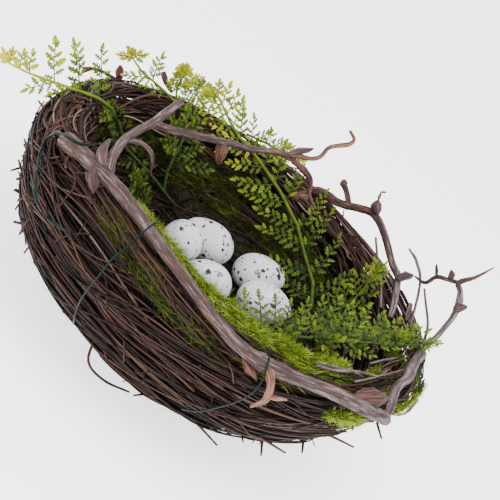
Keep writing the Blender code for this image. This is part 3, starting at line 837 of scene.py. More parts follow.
@dataclass(frozen=True)
class Winding:
    """A bundle of twigs wound on one part of the wall.

    Attributes:
        side: The part of the wall.
        count: How many bundles.
        places: The range along the outline, counted from the rim, in millimetres.
        depths: The range off the surface.
        sweep: Shortest and longest turn around the nest, in degrees.
        slant: The usual climb, in millimetres for each radian.
        radius: Thinnest and thickest twig.
        bearings: The range of bearings that they start in, in degrees.
        wave: How far they wander from a straight course.
        bundle: How many twigs run side by side.
    """

    side: Side
    count: int
    places: Span
    depths: Span
    sweep: Span
    slant: float
    radius: Span = (0.52, 0.86)
    bearings: Span = (0.0, 360.0)
    wave: float = 2.0
    bundle: int = 1

    def hidden(self) -> bool:
        """Whether it lies deep in the wall or under the nest."""
        return self.side in (Side.UNDER, Side.BASE)

    def lead(self) -> float:
        """The share of a twig that lies before its bearing: half, or none where it may start anywhere."""
        return 0.5 if self.bearings != (0.0, 360.0) else 0.0


def sway(rng: Chance, walk: Array, lengths: Span) -> Array:
    """A wave along a twig, of random length and phase."""
    return np.sin(walk / rng.uniform(*lengths) + rng.uniform(0, 6))


def folded(path: Array, low: float, high: float) -> Array:
    """Turns a path back where it would leave a range."""
    return high - np.abs((path - low) % (2 * (high - low)) - (high - low))


def off_floor(points: Array, radius: Array) -> Array:
    """Lifts the points of a twig of this radius clear of the floor."""
    points[:, 2] = np.maximum(points[:, 2], radius + FLOOR_GAP)
    return points


@dataclass
class NestWall:
    """The wound wall: layers of thin twigs over a dark core.

    Attributes:
        windings: The bundles of twigs, from the deepest to the outermost.
        core_depth: How far inside the surface the dark core lies.
        core_places: The stretch of the outline that it fills, counted from the rim.
        core_grid: Its rings and its sides.
        step: Room between the centres of a twig.
        under_step: The same for twigs that other layers hide.
        turn_length: How long a twig is for each radian around the nest.
        base_length: The same under the nest.
        shortest: The least length of a twig.
        steepest: The most that one climbs for each radian.
        spread: The usual room between the twigs of a bundle.
        deepest: The furthest below the surface.
        proudest: The furthest above it, unless a winding goes further.
        tuck: How far most twigs duck into the wall at their ends.
        tuck_from: Where a twig starts to duck, as a share of its half.
        seed: Picks the pattern.
        stubs: How many short broken ends there are.
        left_stubs: The share of them that is at the left.
        curls: How many twigs loop over the left part of the rim.
        loose_ends: Twig ends that stand out, as (x, y, z of the tip, sweep in degrees).
        loose_courses: Turn back from the tip and depth of the points before it, as (sweeps, depth).
        loose_radius: Radius of a loose end in the wall and at its tip.
        bow: The loose twig that bows out under the nest.
        grey_twigs: The twigs that lie on the rim at the right.
    """

    windings: tuple[Winding, ...] = (
        Winding(Side.UNDER, 104, (4, 132), (-5.0, -2.0), (50, 160), 16.0, bundle=3),
        Winding(Side.BASE, 46, (92, 168), (-2.0, -0.6), (50, 150), 26.0, bundle=2),
        Winding(Side.OUTER, 88, (2, 134), (-2.6, -0.2), (60, 170), 13.0, wave=2.6, bundle=3),
        Winding(Side.OUTER, 48, (3, 130), (0.3, 1.7), (60, 150), 14.0, (0.55, 0.88), wave=3.6, bundle=3),
        Winding(Side.OUTER, 22, (2, 110), (0.2, 2.4), (25, 60), 36.0, (0.45, 0.7), wave=4.5),
        Winding(Side.OUTER, 34, (-4, 76), (0.6, 2.8), (40, 90), 12.0, (0.55, 0.85), (165, 245), 7.5, 2),
        Winding(Side.OUTER, 30, (-2, 18), (0.8, 5.6), (20, 50), 8.0, (0.5, 0.8), (326, 378), 1.5, 2),
        Winding(Side.INNER, 42, (-14, 14), (-1.5, 1.8), (50, 150), 9.0, (0.55, 0.9), wave=2.2, bundle=2),
        Winding(Side.INNER, 80, (-64, -4), (-2.8, 0.4), (45, 140), 12.0, wave=2.6, bundle=3),
        Winding(Side.INNER, 30, (-62, -2), (-0.8, 1.4), (30, 90), 24.0, (0.45, 0.75), wave=3.5, bundle=2),
        Winding(Side.INNER, 16, (-50, 6), (-0.2, 2.6), (25, 60), 26.0, (0.45, 0.75), (150, 230), 5.0),
    )
    core_depth: float = 7.0
    core_places: Span = (19, 170)
    core_grid: tuple[int, int] = (46, 120)
    step: float = 6.0
    under_step: float = 7.5
    turn_length: float = 108
    base_length: float = 60
    shortest: float = 24.0
    steepest: float = 90
    spread: float = 2.1
    deepest: float = 9.0
    proudest: float = 3.4
    tuck: float = 2.2
    tuck_from: float = 0.86
    seed: int = 11
    stubs: int = 330
    left_stubs: float = 0.26
    curls: int = 16

    loose_ends: tuple[tuple[float, float, float, float], ...] = (
        (-127, -38, 67, 12), (-121, -48, 52, -12), (-107, -49, 43, 14), (-79, -67, 28, 15), (10, -68, 5, 16),
        (62, -82, 23, -14), (84, -70, 29, 13), (93, -70, 40, -12), (101, -54, 38, 12), (121, -44, 56, -11),
        (129, -42, 70, 10), (128, 40, 46, 12), (108, 80, 72, -11), (74, 112, 50, 12), (44, 108, 24, -13),
        (16, 129, 66, 10), (-34, 118, 38, 13), (-60, 86, 21, -14), (-86, 98, 62, 11), (-122, 62, 46, -12),
    )
    loose_courses: tuple[Span, ...] = ((2.2, -1.0), (1.5, -1.4), (1.0, -0.6), (0.55, 0.9))
    loose_radius: Span = (0.85, 0.55)
    bow: Route = ((-27, -78, 28, 0.8), (-21, -86, 14, 0.8), (-8, -76, 4.8, 0.8), (7, -66, 3.6, 0.6))
    grey_twigs: tuple[Route, ...] = (
        ((73.5, -72.1, 93, 0.8), (83.5, -64, 94.3, 1.1), (95.9, -43.9, 93.4, 1.05), (110.9, -31.7, 95, 0.4)),
        ((70, -72, 93, 0.5), (82, -62, 94.6, 0.7), (90, -52, 94, 0.7), (99, -44, 92.4, 0.4)),
        ((99, -16, 88, 0.6), (104, -8, 91, 0.8), (110, 2, 93.5, 0.6)),
    )

    def strands(self, winding: Winding, rng: Chance) -> list[Strand]:
        """Lays one bundle of twigs.

        Args:
            winding: What the bundle is like.
            rng: The source of its variety.

        Returns:
            The points and the radii of each of its twigs.
        """
        sweep = math.radians(rng.uniform(*winding.sweep)) * rng.choice((-1, 1))
        start = math.radians(rng.uniform(*winding.bearings)) - sweep * winding.lead()
        low, high = (BOWL.rim() + value for value in winding.places)
        place = rng.uniform(low, high)
        per_turn = self.base_length if winding.side is Side.BASE else self.turn_length
        length = max(abs(sweep) * per_turn, self.shortest)
        step = self.under_step if winding.side is Side.UNDER else self.step
        t = np.linspace(0, 1, max(6, int(length / step)))
        walk = t * length
        climb = float(np.clip(rng.normal(0, winding.slant), -self.steepest, self.steepest)) * sweep
        swing, reach, phase = rng.normal(0, winding.wave), rng.uniform(10, 30), rng.uniform(0, 6)
        deep, found = rng.uniform(*winding.depths), []
        for mate in range(winding.bundle):
            drift = rng.normal(0, self.spread) * (1 + 0.7 * sway(rng, walk, (25, 60))) * (mate > 0)
            wander = swing * np.sin(walk / reach + phase + rng.normal(0, 0.25))
            wander = wander + rng.normal(0, 0.3) * np.sin(walk / rng.uniform(6, 11))
            path = folded(place + drift + climb * (t - 0.5) + wander, low, high)
            depth = deep + rng.normal(0, 0.4) + rng.normal(0, 0.5) * sway(rng, walk, (14, 34))
            depth = np.clip(depth, -self.deepest, max(self.proudest, winding.depths[1]))
            depth -= self.ducked(t) * (rng.uniform() < 0.7)
            points = BOWL.at(path, start + rng.normal(0, 0.08) + sweep * t, depth)
            radius = rng.uniform(*winding.radius) * (1.0 - 0.4 * t)
            radius = radius * (1 + 0.12 * np.sin(walk / 5.0 + rng.uniform(0, 6)) * np.sin(walk / 13.0))
            found.append((off_floor(points, radius), radius))
        return found

    def ducked(self, t: Array) -> Array:
        """How far a twig goes into the wall near its ends, at shares t of its length."""
        from_middle = np.abs(t - 0.5) * 2
        return self.tuck * np.maximum(0, from_middle - self.tuck_from) / (1 - self.tuck_from)

    def stub(self, rng: Chance) -> Strand:
        """Breaks off one short end that stands off the outside, more of them to the left.

        Args:
            rng: The source of its variety.

        Returns:
            Its points and radii.
        """
        bearing, place = rng.uniform(0, math.tau), BOWL.rim() + rng.uniform(-6, 138)
        left = rng.uniform() < self.left_stubs
        if left:
            bearing, place = math.radians(rng.uniform(168, 226)), BOWL.rim() + rng.uniform(0, 74)
        standing, bend, thickness, taper = (1.3, 0.4, 1.2, 0.1) if left else (1.0, 1.0, 1, 0.3)
        turn, climb = rng.choice((-1, 1)) * rng.uniform(0.05, 0.14), rng.normal(0, 7)
        t = np.linspace(0, 1, 5)
        depth = -2.5 + t * rng.uniform(3.5, 7.5) * standing
        points = BOWL.at(place + climb * t ** 2, bearing + turn * t * bend, depth)
        radius = rng.uniform(0.4, 0.75) * (thickness - taper * t)
        return off_floor(points, radius), radius

    def curl(self, rng: Chance) -> Strand:
        """Bends one twig that loops over the left part of the rim.

        Args:
            rng: The source of its variety.

        Returns:
            Its points and radii.
        """
        bearing, place = math.radians(rng.uniform(172, 236)), BOWL.rim() + rng.uniform(-10, 26)
        size, turn = rng.uniform(7, 14), np.linspace(0, rng.uniform(3.2, 5.8), 24) + rng.uniform(0, 6)
        depth = 1.4 + 1.0 * np.sin(turn * 1.3)
        points = BOWL.at(place + size * 0.8 * np.sin(turn), bearing + size * np.cos(turn) / 105, depth)
        return points, rng.uniform(0.5, 0.78) * np.linspace(1.0, 0.75, len(turn))

    def wind(self, soup: Soup, winding: Winding, rng: Chance) -> None:
        """Winds every bundle of one winding, with painted shade darkening its twigs towards the base and
        painted light brightening them near the rim.

        Args:
            soup: The mesh they go into.
            winding: What they are like.
            rng: The source of their variety.
        """
        sides = 4 if winding.side is Side.UNDER else 5
        for _ in range(winding.count):
            for points, radii in self.strands(winding, rng):
                # painted shade: twigs deep in the wall or under the nest are made darker
                tone = float(np.clip(rng.beta(1.2, 2.3) * (0.6 if winding.hidden() else 1.0), 0, 1))
                # painted shade and painted light: twigs are darker towards the base and lighter near the rim
                tone_with_painted_light_and_shade = tone * np.interp(points[:, 2], (0, 60, 95), (0.45, 1.0, 1.2))
                soup.tube(points, radii, sides, tone_with_painted_light_and_shade, rng.uniform(0, 40))

    def build(self, finishes: Finishes) -> None:
        """Winds every bundle and adds the loose ends.

        Args:
            finishes: The nest's materials.
        """
        rng = np.random.default_rng(self.seed)
        under, outer, inner = Soup(), Soup(), Soup()
        soups = {Side.UNDER: under, Side.BASE: under, Side.OUTER: outer, Side.INNER: inner}
        for winding in self.windings:
            self.wind(soups[winding.side], winding, rng)
        for _ in range(self.stubs):
            points, radii = self.stub(rng)
            outer.tube(points, radii, 5, float(rng.uniform(0.1, 0.6)), rng.uniform(0, 40))
        for _ in range(self.curls):
            points, radii = self.curl(rng)
            inner.tube(points, radii, 5, float(rng.uniform(0.15, 0.8)), rng.uniform(0, 40))
        self.add_ends(outer, rng)
        outer.make("wound_twigs_outside", finishes.twig, ("nest_wall",), "twig")
        under.make("wound_twigs_under", finishes.twig, (), "twig")
        inner.make("wound_twigs_inside", finishes.twig, (), "twig")
        # painted shade: a near-black mass deep in the wall
        self.core().make("wall_shade_core", finishes.core, (), "twig")
        self.weathered().make("grey_twigs", finishes.bark, (), "bark")

    def add_ends(self, soup: Soup, rng: Chance) -> None:
        """Adds the twig ends that stand out of the wall.

        Args:
            soup: The mesh they go into.
            rng: The source of their variety.
        """
        outside = np.array(BOWL.outline[BOWL.rim_index + 2:-1], float)[::-1]
        thick, thin = self.loose_radius
        for x, y, z, sweep in self.loose_ends:
            bearing = math.atan2(y, x / BOWL.oval)
            radius = float(np.interp(z, outside[:, 1], outside[:, 0]))
            route = []
            for sweeps, depth in self.loose_courses:
                angle = bearing + math.radians(sweep * sweeps)
                spot = np.array([[(radius + depth) * math.cos(angle), (radius + depth) * math.sin(angle), z]])
                route.append((*BOWL.settle(spot)[0], thick))
            soup.twig((*route, (x, y, z, thin)), 4.0, 6, float(rng.uniform(0.3, 0.8)), rng.uniform(0, 40))
        soup.twig(self.bow, 3.0, 6, tone=0.5, seed=3.0)

    def weathered(self) -> Soup:
        """Gathers the few grey twigs that lie on the rim at the right.

        Returns:
            Their mesh.
        """
        soup = Soup()
        for index, route in enumerate(self.grey_twigs):
            soup.twig(route, 3.0, 7, tone=0.05, seed=5.0 + index)
        return soup

    def core(self) -> Soup:
        """Shapes the dark mass deep in the wall that stops light below the rim; its near-black colour is
        painted shade.

        Returns:
            Its mesh.
        """
        rings, around = self.core_grid
        marks = BOWL.rim() + np.linspace(*self.core_places, rings)
        place, bearing = (grid.ravel() for grid in np.meshgrid(marks, circle(around), indexing="ij"))
        rough = ripple(np.stack([place / 7, np.cos(bearing) * 9, np.sin(bearing) * 9], axis=1), 4)
        points = BOWL.at(place, bearing, -self.core_depth + rough)
        points[:, 2] = np.maximum(points[:, 2], 1.6)
        flow = np.stack([place, bearing * 3, bearing * 110], axis=1)
        soup = Soup()
        flat = np.stack([bearing, place], axis=1)
        soup.add(points, ring_quads(rings, around, reverse=True), 0.4, flow, flat)
        return soup


# ------------------------ moss

@dataclass
class Moss:
    """A patch of moss: a rough body with many fine blades.

    Attributes:
        name: The CAD node it stands for.
        blades: How many blades.
        length: Shortest and longest blade.
        tone: The usual tone, from old and dark to young and bright.
        strip: Bearing range in degrees, radius, height and thickness, for a strip on the wall.
        seed: Picks the pattern.
        swell: Factors on its thickness from its start to its end.
        sides: Sides of its body.
        width: The usual width of a blade.
    """

    name: str
    blades: int
    length: Span
    tone: float
    strip: tuple[float, float, float, float, float]
    seed: int
    swell: tuple[float, float, float, float] = (1.0, 1.0, 1.0, 1.0)
    sides: int = 14
    width: float = 0.21

    def route(self) -> Array:
        """The strip's middle line, with its radius.

        Returns:
            One row for each of its points.
        """
        start, end, radius, height, thickness = self.strip
        spans = max(3, round((end - start) / 8))
        steps = np.arange(spans + 1)
        bearing = np.radians(start + (end - start) * steps / spans)
        level = np.full(spans + 1, height)
        line = BOWL.settle(np.stack([radius * np.cos(bearing), radius * np.sin(bearing), level], axis=1))
        swell = 1 + 0.16 * np.sin(steps * 2.4 + radius)
        swell[[0, -1]] = 0.55
        return smooth_route(tuple((*p, s * thickness) for p, s in zip(line, swell)), 2.0)

    def build(self, finishes: Finishes) -> None:
        """Makes the body and grows its blades.

        Args:
            finishes: The nest's materials.
        """
        rng = np.random.default_rng(self.seed)
        route, soup = self.route(), Soup()
        points, count = route[:, :3], len(route)
        radii = route[:, 3] * np.interp(np.linspace(0, 1, count), (0, 0.25, 0.55, 1), self.swell)
        lumps = ripple(wrapped(np.arange(count) * 0.5, circle(self.sides)), self.seed)
        shape = 0.50 + 0.20 * lumps.reshape(count, self.sides)
        soup.tube(points, radii, self.sides, self.tone * 0.4, 1.0, shape)
        self.grow(soup, rng, points, radii)
        soup.make(self.name + "_tufts", finishes.moss, (self.name,), "moss", smooth=False)

    def grow(self, soup: Soup, rng: Chance, points: Array, radii: Array) -> None:
        """Grows blades all over the body, sparser towards its end.

        Args:
            soup: The mesh they go into.
            rng: The source of their variety.
            points: The body's middle line.
            radii: Its radius there.
        """
        along, across, up = carried_frames(points)
        pick = rng.integers(1, len(points) - 1, self.blades)
        angle = rng.uniform(0, math.tau, self.blades)
        out = across[pick] * np.cos(angle)[:, None] + up[pick] * np.sin(angle)[:, None]
        root = points[pick] + out * (radii[pick] * rng.uniform(0.2, 0.6, self.blades))[:, None]
        root += along[pick] * rng.uniform(-1, 1, self.blades)[:, None]
        comb = np.where(rng.uniform(size=self.blades) < 0.65, 1.0, -1.0) * rng.uniform(0.2, 1.4, self.blades)
        lean = along[pick] * comb[:, None] + out * rng.uniform(0.1, 0.8, self.blades)[:, None]
        lean += rng.normal(0, 0.42, (self.blades, 3))
        patch = ripple(root / 8, self.seed + 3, 3)
        inward = -np.sum(unit(root[:, :2]) * out[:, :2], axis=1)
        # painted shade: blades that point into the bowl are darker
        tone = np.clip(self.tone + 0.30 * patch - 0.14 * inward + rng.normal(0, 0.17, self.blades), 0.02, 1)
        length = rng.uniform(*self.length, self.blades) * np.clip(1.0 + 0.35 * patch, 0.5, 1.25)
        length *= np.clip(1.25 * radii[pick] / radii.max(), 0.45, 1.0)
        sparse = np.interp(pick / len(points), (0, 0.7, 1.0), (-0.6, -0.6, 0.5))
        kept = ripple(root / 13, self.seed + 8, 2) + rng.normal(0, 0.2, self.blades) > sparse
        grow_blades(soup, rng, root[kept], unit(lean)[kept], length[kept], tone[kept], self.width)


@dataclass(frozen=True)
class WallMoss:
    """Loose moss fibres caught among the twigs.

    Attributes:
        name: The piece's name.
        count: How many fibres.
        bearings: The range of bearings, in degrees.
        places: The range along the outline, counted from the rim.
        depths: The range off the surface.
        length: Shortest and longest fibre.
        tone: The usual tone.
        seed: Picks the pattern.
        width: The usual width of a fibre.
    """

    name: str
    count: int
    bearings: Span
    places: Span
    depths: Span
    length: Span
    tone: float
    seed: int
    width: float = 0.24

    def build(self, finishes: Finishes) -> None:
        """Scatters the fibres, and keeps those that fall in patches.

        Args:
            finishes: The nest's materials.
        """
        rng, soup = np.random.default_rng(self.seed), Soup()
        tries = self.count * 3
        bearing = np.radians(rng.uniform(*self.bearings, tries))
        place = BOWL.rim() + rng.uniform(*self.places, tries)
        patch = ripple(np.stack([bearing * 110 / 14, place / 9], axis=1), self.seed, 2)
        kept = np.argsort(-(patch + rng.normal(0, 0.45, tries)))[: self.count]
        bearing, place = bearing[kept], place[kept]
        depth = rng.uniform(*self.depths, self.count)
        root = BOWL.at(place, bearing, depth)
        along = unit(BOWL.at(place, bearing + 0.02, depth) - root)
        down = unit(BOWL.at(place + 2, bearing, depth) - root)
        out = np.cross(along, down)
        way = along * rng.choice((-1.0, 1.0), self.count)[:, None]
        way = way + down * rng.normal(0, 0.45, (self.count, 1)) + out * rng.normal(0, 0.12, (self.count, 1))
        tone = np.clip(self.tone + 0.12 * patch[kept] + rng.normal(0, 0.13, self.count), 0.02, 1)
        grow_blades(soup, rng, root, unit(way), rng.uniform(*self.length, self.count), tone, self.width)
        soup.make(self.name, finishes.moss, (), "moss", smooth=False)


def grow_blades(soup: Soup, rng: Chance, root: Array, way: Array, length: Array, tone: Array,
                width: float) -> None:
    """Adds thin, curved, tapering blades.

    Args:
        soup: The mesh they go into.
        rng: The source of their variety.
        root: Where each blade starts.
        way: Which way each blade sets out.
        length: Each blade's length.
        tone: Each blade's tone near its tip.
        width: The usual width at the root.
    """
    t = np.array([0, 0.4, 0.75, 1.0])
    taper = np.array([1.0, 0.9, 0.6, 0.12])
    shades = np.array([0.45, 0.8, 1.0, 1.15])
    map_rows, map_columns, map_wide = (0, 0.3, 0.6, 0.8), 97, 0.8
    count, per_blade = len(root), 2 * len(t)
    bend = unit(way + rng.normal(0, 0.55, (count, 3)))
    side = unit(np.cross(way, rng.normal(0, 1, (count, 3))))
    line = root[:, None] + (way[:, None] * t[None, :, None] * (1 - t * 0.35)[None, :, None]
                            + bend[:, None] * (t ** 2 * 0.35)[None, :, None]) * length[:, None, None]
    half = (taper * width / 2)[None, :] * rng.uniform(0.6, 1.3, count)[:, None]
    edge = side[:, None] * half[:, :, None]
    verts = np.stack([line - edge, line + edge], axis=2).reshape(-1, 3)
    base = np.arange(count)[:, None] * per_blade + np.array([0, 2, 4])[None, :]
    quads = np.stack([base, base + 1, base + 3, base + 2], axis=-1).reshape(-1, 4)
    shade = (tone[:, None] * shades[None, :]).repeat(2, axis=1).ravel()
    column, row = (np.repeat(value, per_blade) for value in (np.arange(count) % map_columns,
                                                             np.arange(count) // map_columns))
    flat = np.stack([column, row], axis=1).astype(float)
    flat += np.tile(np.array([(wide, high) for high in map_rows for wide in (0, map_wide)]), (count, 1))
    soup.add(verts, quads, np.clip(shade, 0, 1), verts, flat)


@dataclass
class MossBed:
    """The bed of moss in the bowl, under and around the eggs.

    Attributes:
        top: Radius and height of points on its surface.
        mound: The hump under the first egg, as (x, y, z, radius, height).
        centre: How far to the left its middle lies.
        reach: How far out the blades grow.
        grid: Rings and sides of its mat.
        sink: How far the mat lies under the surface.
        blades: How many blades.
        length: Shortest and longest blade.
        width: The usual width of a blade.
        strands: How many twigs lie in it.
        strand_reach: How near the middle and how far out they lie.
        seed: Picks the pattern.
    """

    top: tuple[Span, ...] = (
        (0, 38.0), (52, 38.0), (63.5, 38.2), (69.5, 41.3), (76, 46.8), (82, 53), (84.5, 54.5),
    )
    mound: tuple[float, float, float, float, float] = (-27, 18, 34.5, 17, 6.0)
    centre: float = 2.5
    reach: float = 84
    grid: tuple[int, int] = (35, 96)
    sink: float = 2.4
    blades: int = 12500
    length: Span = (3, 8)
    width: float = 0.42
    strands: int = 170
    strand_reach: Span = (44, 84)
    seed: int = 23

    def height(self, x: Array, y: Array) -> Array:
        """The bed's height above the base.

        Args:
            x: How far to the right.
            y: How far to the back.

        Returns:
            The heights.
        """
        outline = np.array(self.top, float)
        z = np.interp(np.hypot((x + self.centre) / BOWL.oval, y), outline[:, 0], outline[:, 1])
        mx, my, mz, radius, tall = self.mound
        far = np.clip(np.hypot(x - mx, y - my) / radius, 0, 1)
        return np.maximum(z, mz + tall * (1 - far ** 2))

    def spot(self, reach: Array, angle: Array) -> tuple[Array, Array]:
        """Where a radius and an angle lie on the oval bed."""
        return reach * np.cos(angle) * BOWL.oval - self.centre, reach * np.sin(angle)

    def build(self, finishes: Finishes) -> None:
        """Makes the bed, its blades and its twigs, one mesh each.

        Args:
            finishes: The nest's materials.
        """
        rng = np.random.default_rng(self.seed)
        # painted shade: the mat is near-black so that the gaps between the blades read as shade
        self.mat().make("moss_bed_shade_mat", finishes.core, ("moss_bed",), "moss")
        self.tufts(rng).make("moss_bed_tufts", finishes.moss, (), "moss", smooth=False)
        self.twigs(rng).make("bed_twigs", finishes.twig, (), "twig")

    def mat(self) -> Soup:
        """Shapes the mat that the blades grow from, near-black as painted shade between them.

        Returns:
            Its mesh.
        """
        rings, around = self.grid
        radii = np.concatenate([[0.5], np.linspace(3, self.top[-1][0], rings - 1)])
        x, y = (grid.ravel() for grid in self.spot(*np.meshgrid(radii, circle(around), indexing="ij")))
        z = self.height(x, y) - self.sink + 0.7 * ripple(np.stack([x / 6, y / 6], axis=1), 6)
        points, soup = np.stack([x, y, z], axis=1), Soup()
        soup.add(points, ring_quads(rings, around, reverse=True), 0.5, points, points[:, :2])
        return soup

    def tufts(self, rng: Chance) -> Soup:
        """Grows the blades.

        Args:
            rng: The source of their variety.

        Returns:
            Their mesh.
        """
        soup = Soup()
        reach = self.reach * np.sqrt(rng.uniform(0.02, 1, self.blades))
        x, y = self.spot(reach, rng.uniform(0, math.tau, self.blades))
        root = np.stack([x, y, self.height(x, y) - 1.9], axis=1)
        way = rng.normal(0, 1, (self.blades, 3))
        way[:, 2] = np.abs(way[:, 2]) * 0.4 + 0.25
        way[:, :2] -= root[:, :2] * 0.004
        patch = ripple(np.stack([x / 22, y / 22], axis=1), 9, 2)
        tone = np.clip(0.27 + 0.20 * patch + rng.normal(0, 0.10, self.blades), 0.02, 0.9)
        grow_blades(soup, rng, root, unit(way), rng.uniform(*self.length, self.blades), tone, self.width)
        return soup

    def twigs(self, rng: Chance) -> Soup:
        """Lays the twigs around the eggs.

        Args:
            rng: The source of their variety.

        Returns:
            Their mesh.
        """
        soup = Soup()
        for _ in range(self.strands):
            start, sweep = rng.uniform(0, math.tau), rng.uniform(0.5, 1.5)
            t = np.linspace(0, 1, max(7, int(sweep * 12)))
            reach = rng.uniform(50, 84) + rng.normal(0, 16) * (t - 0.5)
            reach = np.clip(reach + 2.5 * np.sin(t * rng.uniform(3, 9) + start), *self.strand_reach)
            x, y = self.spot(reach, start + sweep * t)
            lift = rng.uniform(-0.2, 1.6) + 0.8 * np.sin(t * rng.uniform(4, 12))
            points = np.stack([x, y, self.height(x, y) + lift], axis=1)
            radii = rng.uniform(0.35, 0.7) * (1 - 0.3 * t)
            soup.tube(points, radii, 5, float(rng.uniform(0.0, 0.55)), rng.uniform(0, 40))
        return soup


# ------------------------ eggs

@dataclass(frozen=True)
class Egg:
    """One speckled egg.

    Attributes:
        name: The CAD node it stands for.
        middle: Its middle.
        axis: From its blunt end to its tip.
        length: Along the axis.
        diameter: Across it.
        turn: Degrees about the axis, which brings its speckles round.
        marked: Which end has most of its blotches, 1 for the tip and -1 for the blunt end.
        point: How much narrower than its blunt end its tip is.
        grid: Rings and sides of its shell.
    """

    name: str
    middle: Spot
    axis: Spot
    length: float
    diameter: float
    turn: float
    marked: float = 1.0
    point: float = 0.12
    grid: tuple[int, int] = (40, 56)

    def build(self, finishes: Finishes) -> None:
        """Turns the shell.

        Args:
            finishes: The nest's materials.
        """
        rings, around = self.grid
        t, angles = np.linspace(0.0, math.pi, rings), circle(around)
        radius = self.diameter / 2 * np.sin(t) * (1 - self.point * np.cos(t))
        local = over_grid(
            self.grid, radius[:, None] * np.cos(angles), radius[:, None] * np.sin(angles),
            (self.length / 2 * np.cos(t))[:, None],
        )
        local *= (1 + 0.004 * ripple(local / 14, 3, 2))[:, None]
        lay = Vector(self.axis).to_track_quat("Z", "Y").to_matrix()
        spin = Matrix.Rotation(math.radians(self.turn), 3, "Z")
        grain = local @ np.array(spin).T + np.array([self.turn, self.turn * 0.7, 0])
        flat = over_grid(self.grid, angles, t[:, None])
        marks = 0.5 + 0.5 * self.marked * np.repeat(np.cos(t), around)
        soup = Soup()
        soup.add(local @ np.array(lay).T + np.array(self.middle), ring_quads(rings, around, reverse=True),
                 marks, grain, flat)
        soup.make(self.name + "_shell", finishes.egg, (self.name,), "egg")


# ------------------------ branches

@dataclass(frozen=True)
class Bud:
    """A bud, pod or dry flake on a branch, pointed at both ends.

    Attributes:
        root: Where it starts.
        tip: Where it ends.
        width: Across.
        thickness: Front to back.
        ragged: How uneven it is, from 0 to 1.
        tint: Its bark's tone.
        facing: The way its flat side looks.
        grid: Rings and sides.
    """

    root: Spot
    tip: Spot
    width: float
    thickness: float
    ragged: float = 0.15
    tint: float = 0.4
    facing: Spot = (0, 0, 1)
    grid: tuple[int, int] = (12, 14)

    def swell(self, t: Array) -> Array:
        """Its fullness along its length: a smooth bud is fuller near its ends than a ragged flake."""
        return np.sin(math.pi * np.clip(t, 0.02, 0.985) ** 0.85) ** (0.62 if self.ragged < 0.3 else 1.0)

    def add(self, soup: Soup, seed: int) -> None:
        """Adds it to a branch's mesh.

        Args:
            soup: The branch's mesh.
            seed: Picks the pattern of its surface.
        """
        root, reach = np.array(self.root, float), np.array(self.tip, float) - np.array(self.root, float)
        rings, around = self.grid
        t, angles = np.linspace(0, 1, rings), circle(around)
        along = unit_one(reach)
        across = unit_one(np.cross(along, self.facing))
        up = np.cross(across, along)
        noise = 1 + self.ragged * ripple(wrapped(t * 3, angles), seed).reshape(rings, around)
        ridges = 1 + 0.05 * np.cos(angles * 5 + t[:, None] * 3)
        size = self.swell(t)[:, None] * noise * ridges
        wide, deep = (np.cos(angles) * size)[..., None], (np.sin(angles) * size)[..., None]
        points = (root + np.outer(t, reach))[:, None] + across * wide * self.width / 2
        points = (points + up * deep * self.thickness / 2).reshape(-1, 3)
        girth, span = self.width, float(np.linalg.norm(reach))
        flow = over_grid(
            self.grid, np.cos(angles) * girth + seed * 5, np.sin(angles) * girth, (t * span)[:, None],
        )
        flat = over_grid(self.grid, angles * 0.01, t[:, None] * 0.1)
        soup.add(points, ring_quads(rings, around), self.tint, flow, flat)


@dataclass
class Branch:
    """A branch or twig with bark, and what grows on it.

    Attributes:
        name: The CAD node it stands for.
        routes: One route for each arm, as (x, y, z, radius).
        buds: Buds, pods and flakes.
        sides: Sides of the tube.
        step: Spacing along it.
        rough: How uneven the bark is.
        red: Whether it has red bark.
        tints: The bark's tone along each arm, from its first point to its last.
    """

    name: str
    routes: tuple[Route, ...]
    buds: tuple[Bud, ...] = ()
    sides: int = 16
    step: float = 1.6
    rough: float = 0.055
    red: bool = False
    tints: tuple[tuple[float, ...], ...] = ((0.2, 0.2),)

    def arm(self, soup: Soup, route: Route, seed: int, tints: tuple[float, ...]) -> None:
        """Adds one arm with knotted, ridged bark.

        Args:
            soup: The branch's mesh.
            route: Rows of x, y, z and radius.
            seed: Picks the pattern of knots and ridges.
            tints: The bark's tone from the arm's first point to its last.
        """
        path = smooth_route(route, self.step)
        count = len(path)
        walked = np.arange(count) * self.step
        knots = np.maximum(0, ripple(np.stack([walked / 16, walked * 0], axis=1), seed, 2)) ** 2
        radii = path[:, 3] * (0.95 + 0.10 * knots)
        tint = np.interp(np.linspace(0, 1, count), np.linspace(0, 1, len(tints)), tints)
        ridges = wrapped(walked / 9, circle(self.sides), 1.1)
        fine = ridges * np.array([2.6, 3.1, 3.1])
        bark = ripple(ridges, seed) + 0.7 * ripple(fine, seed + 1, 2)
        shape = 1 + self.rough * bark.reshape(count, self.sides)
        soup.tube(path[:, :3], radii, self.sides, tint, seed * 1.7, shape)

    def build(self, finishes: Finishes) -> None:
        """Makes the branch.

        Args:
            finishes: The nest's materials.
        """
        soup, seed = Soup(), sum(ord(letter) for letter in self.name)
        for index, route in enumerate(self.routes):
            self.arm(soup, route, seed + index * 5, self.tints[min(index, len(self.tints) - 1)])
        for index, bud in enumerate(self.buds):
            bud.add(soup, seed + 50 + index)
        material, slot = (finishes.red_bark, "red_bark") if self.red else (finishes.bark, "bark")
        soup.make(self.name + "_bark", material, (self.name,), slot)


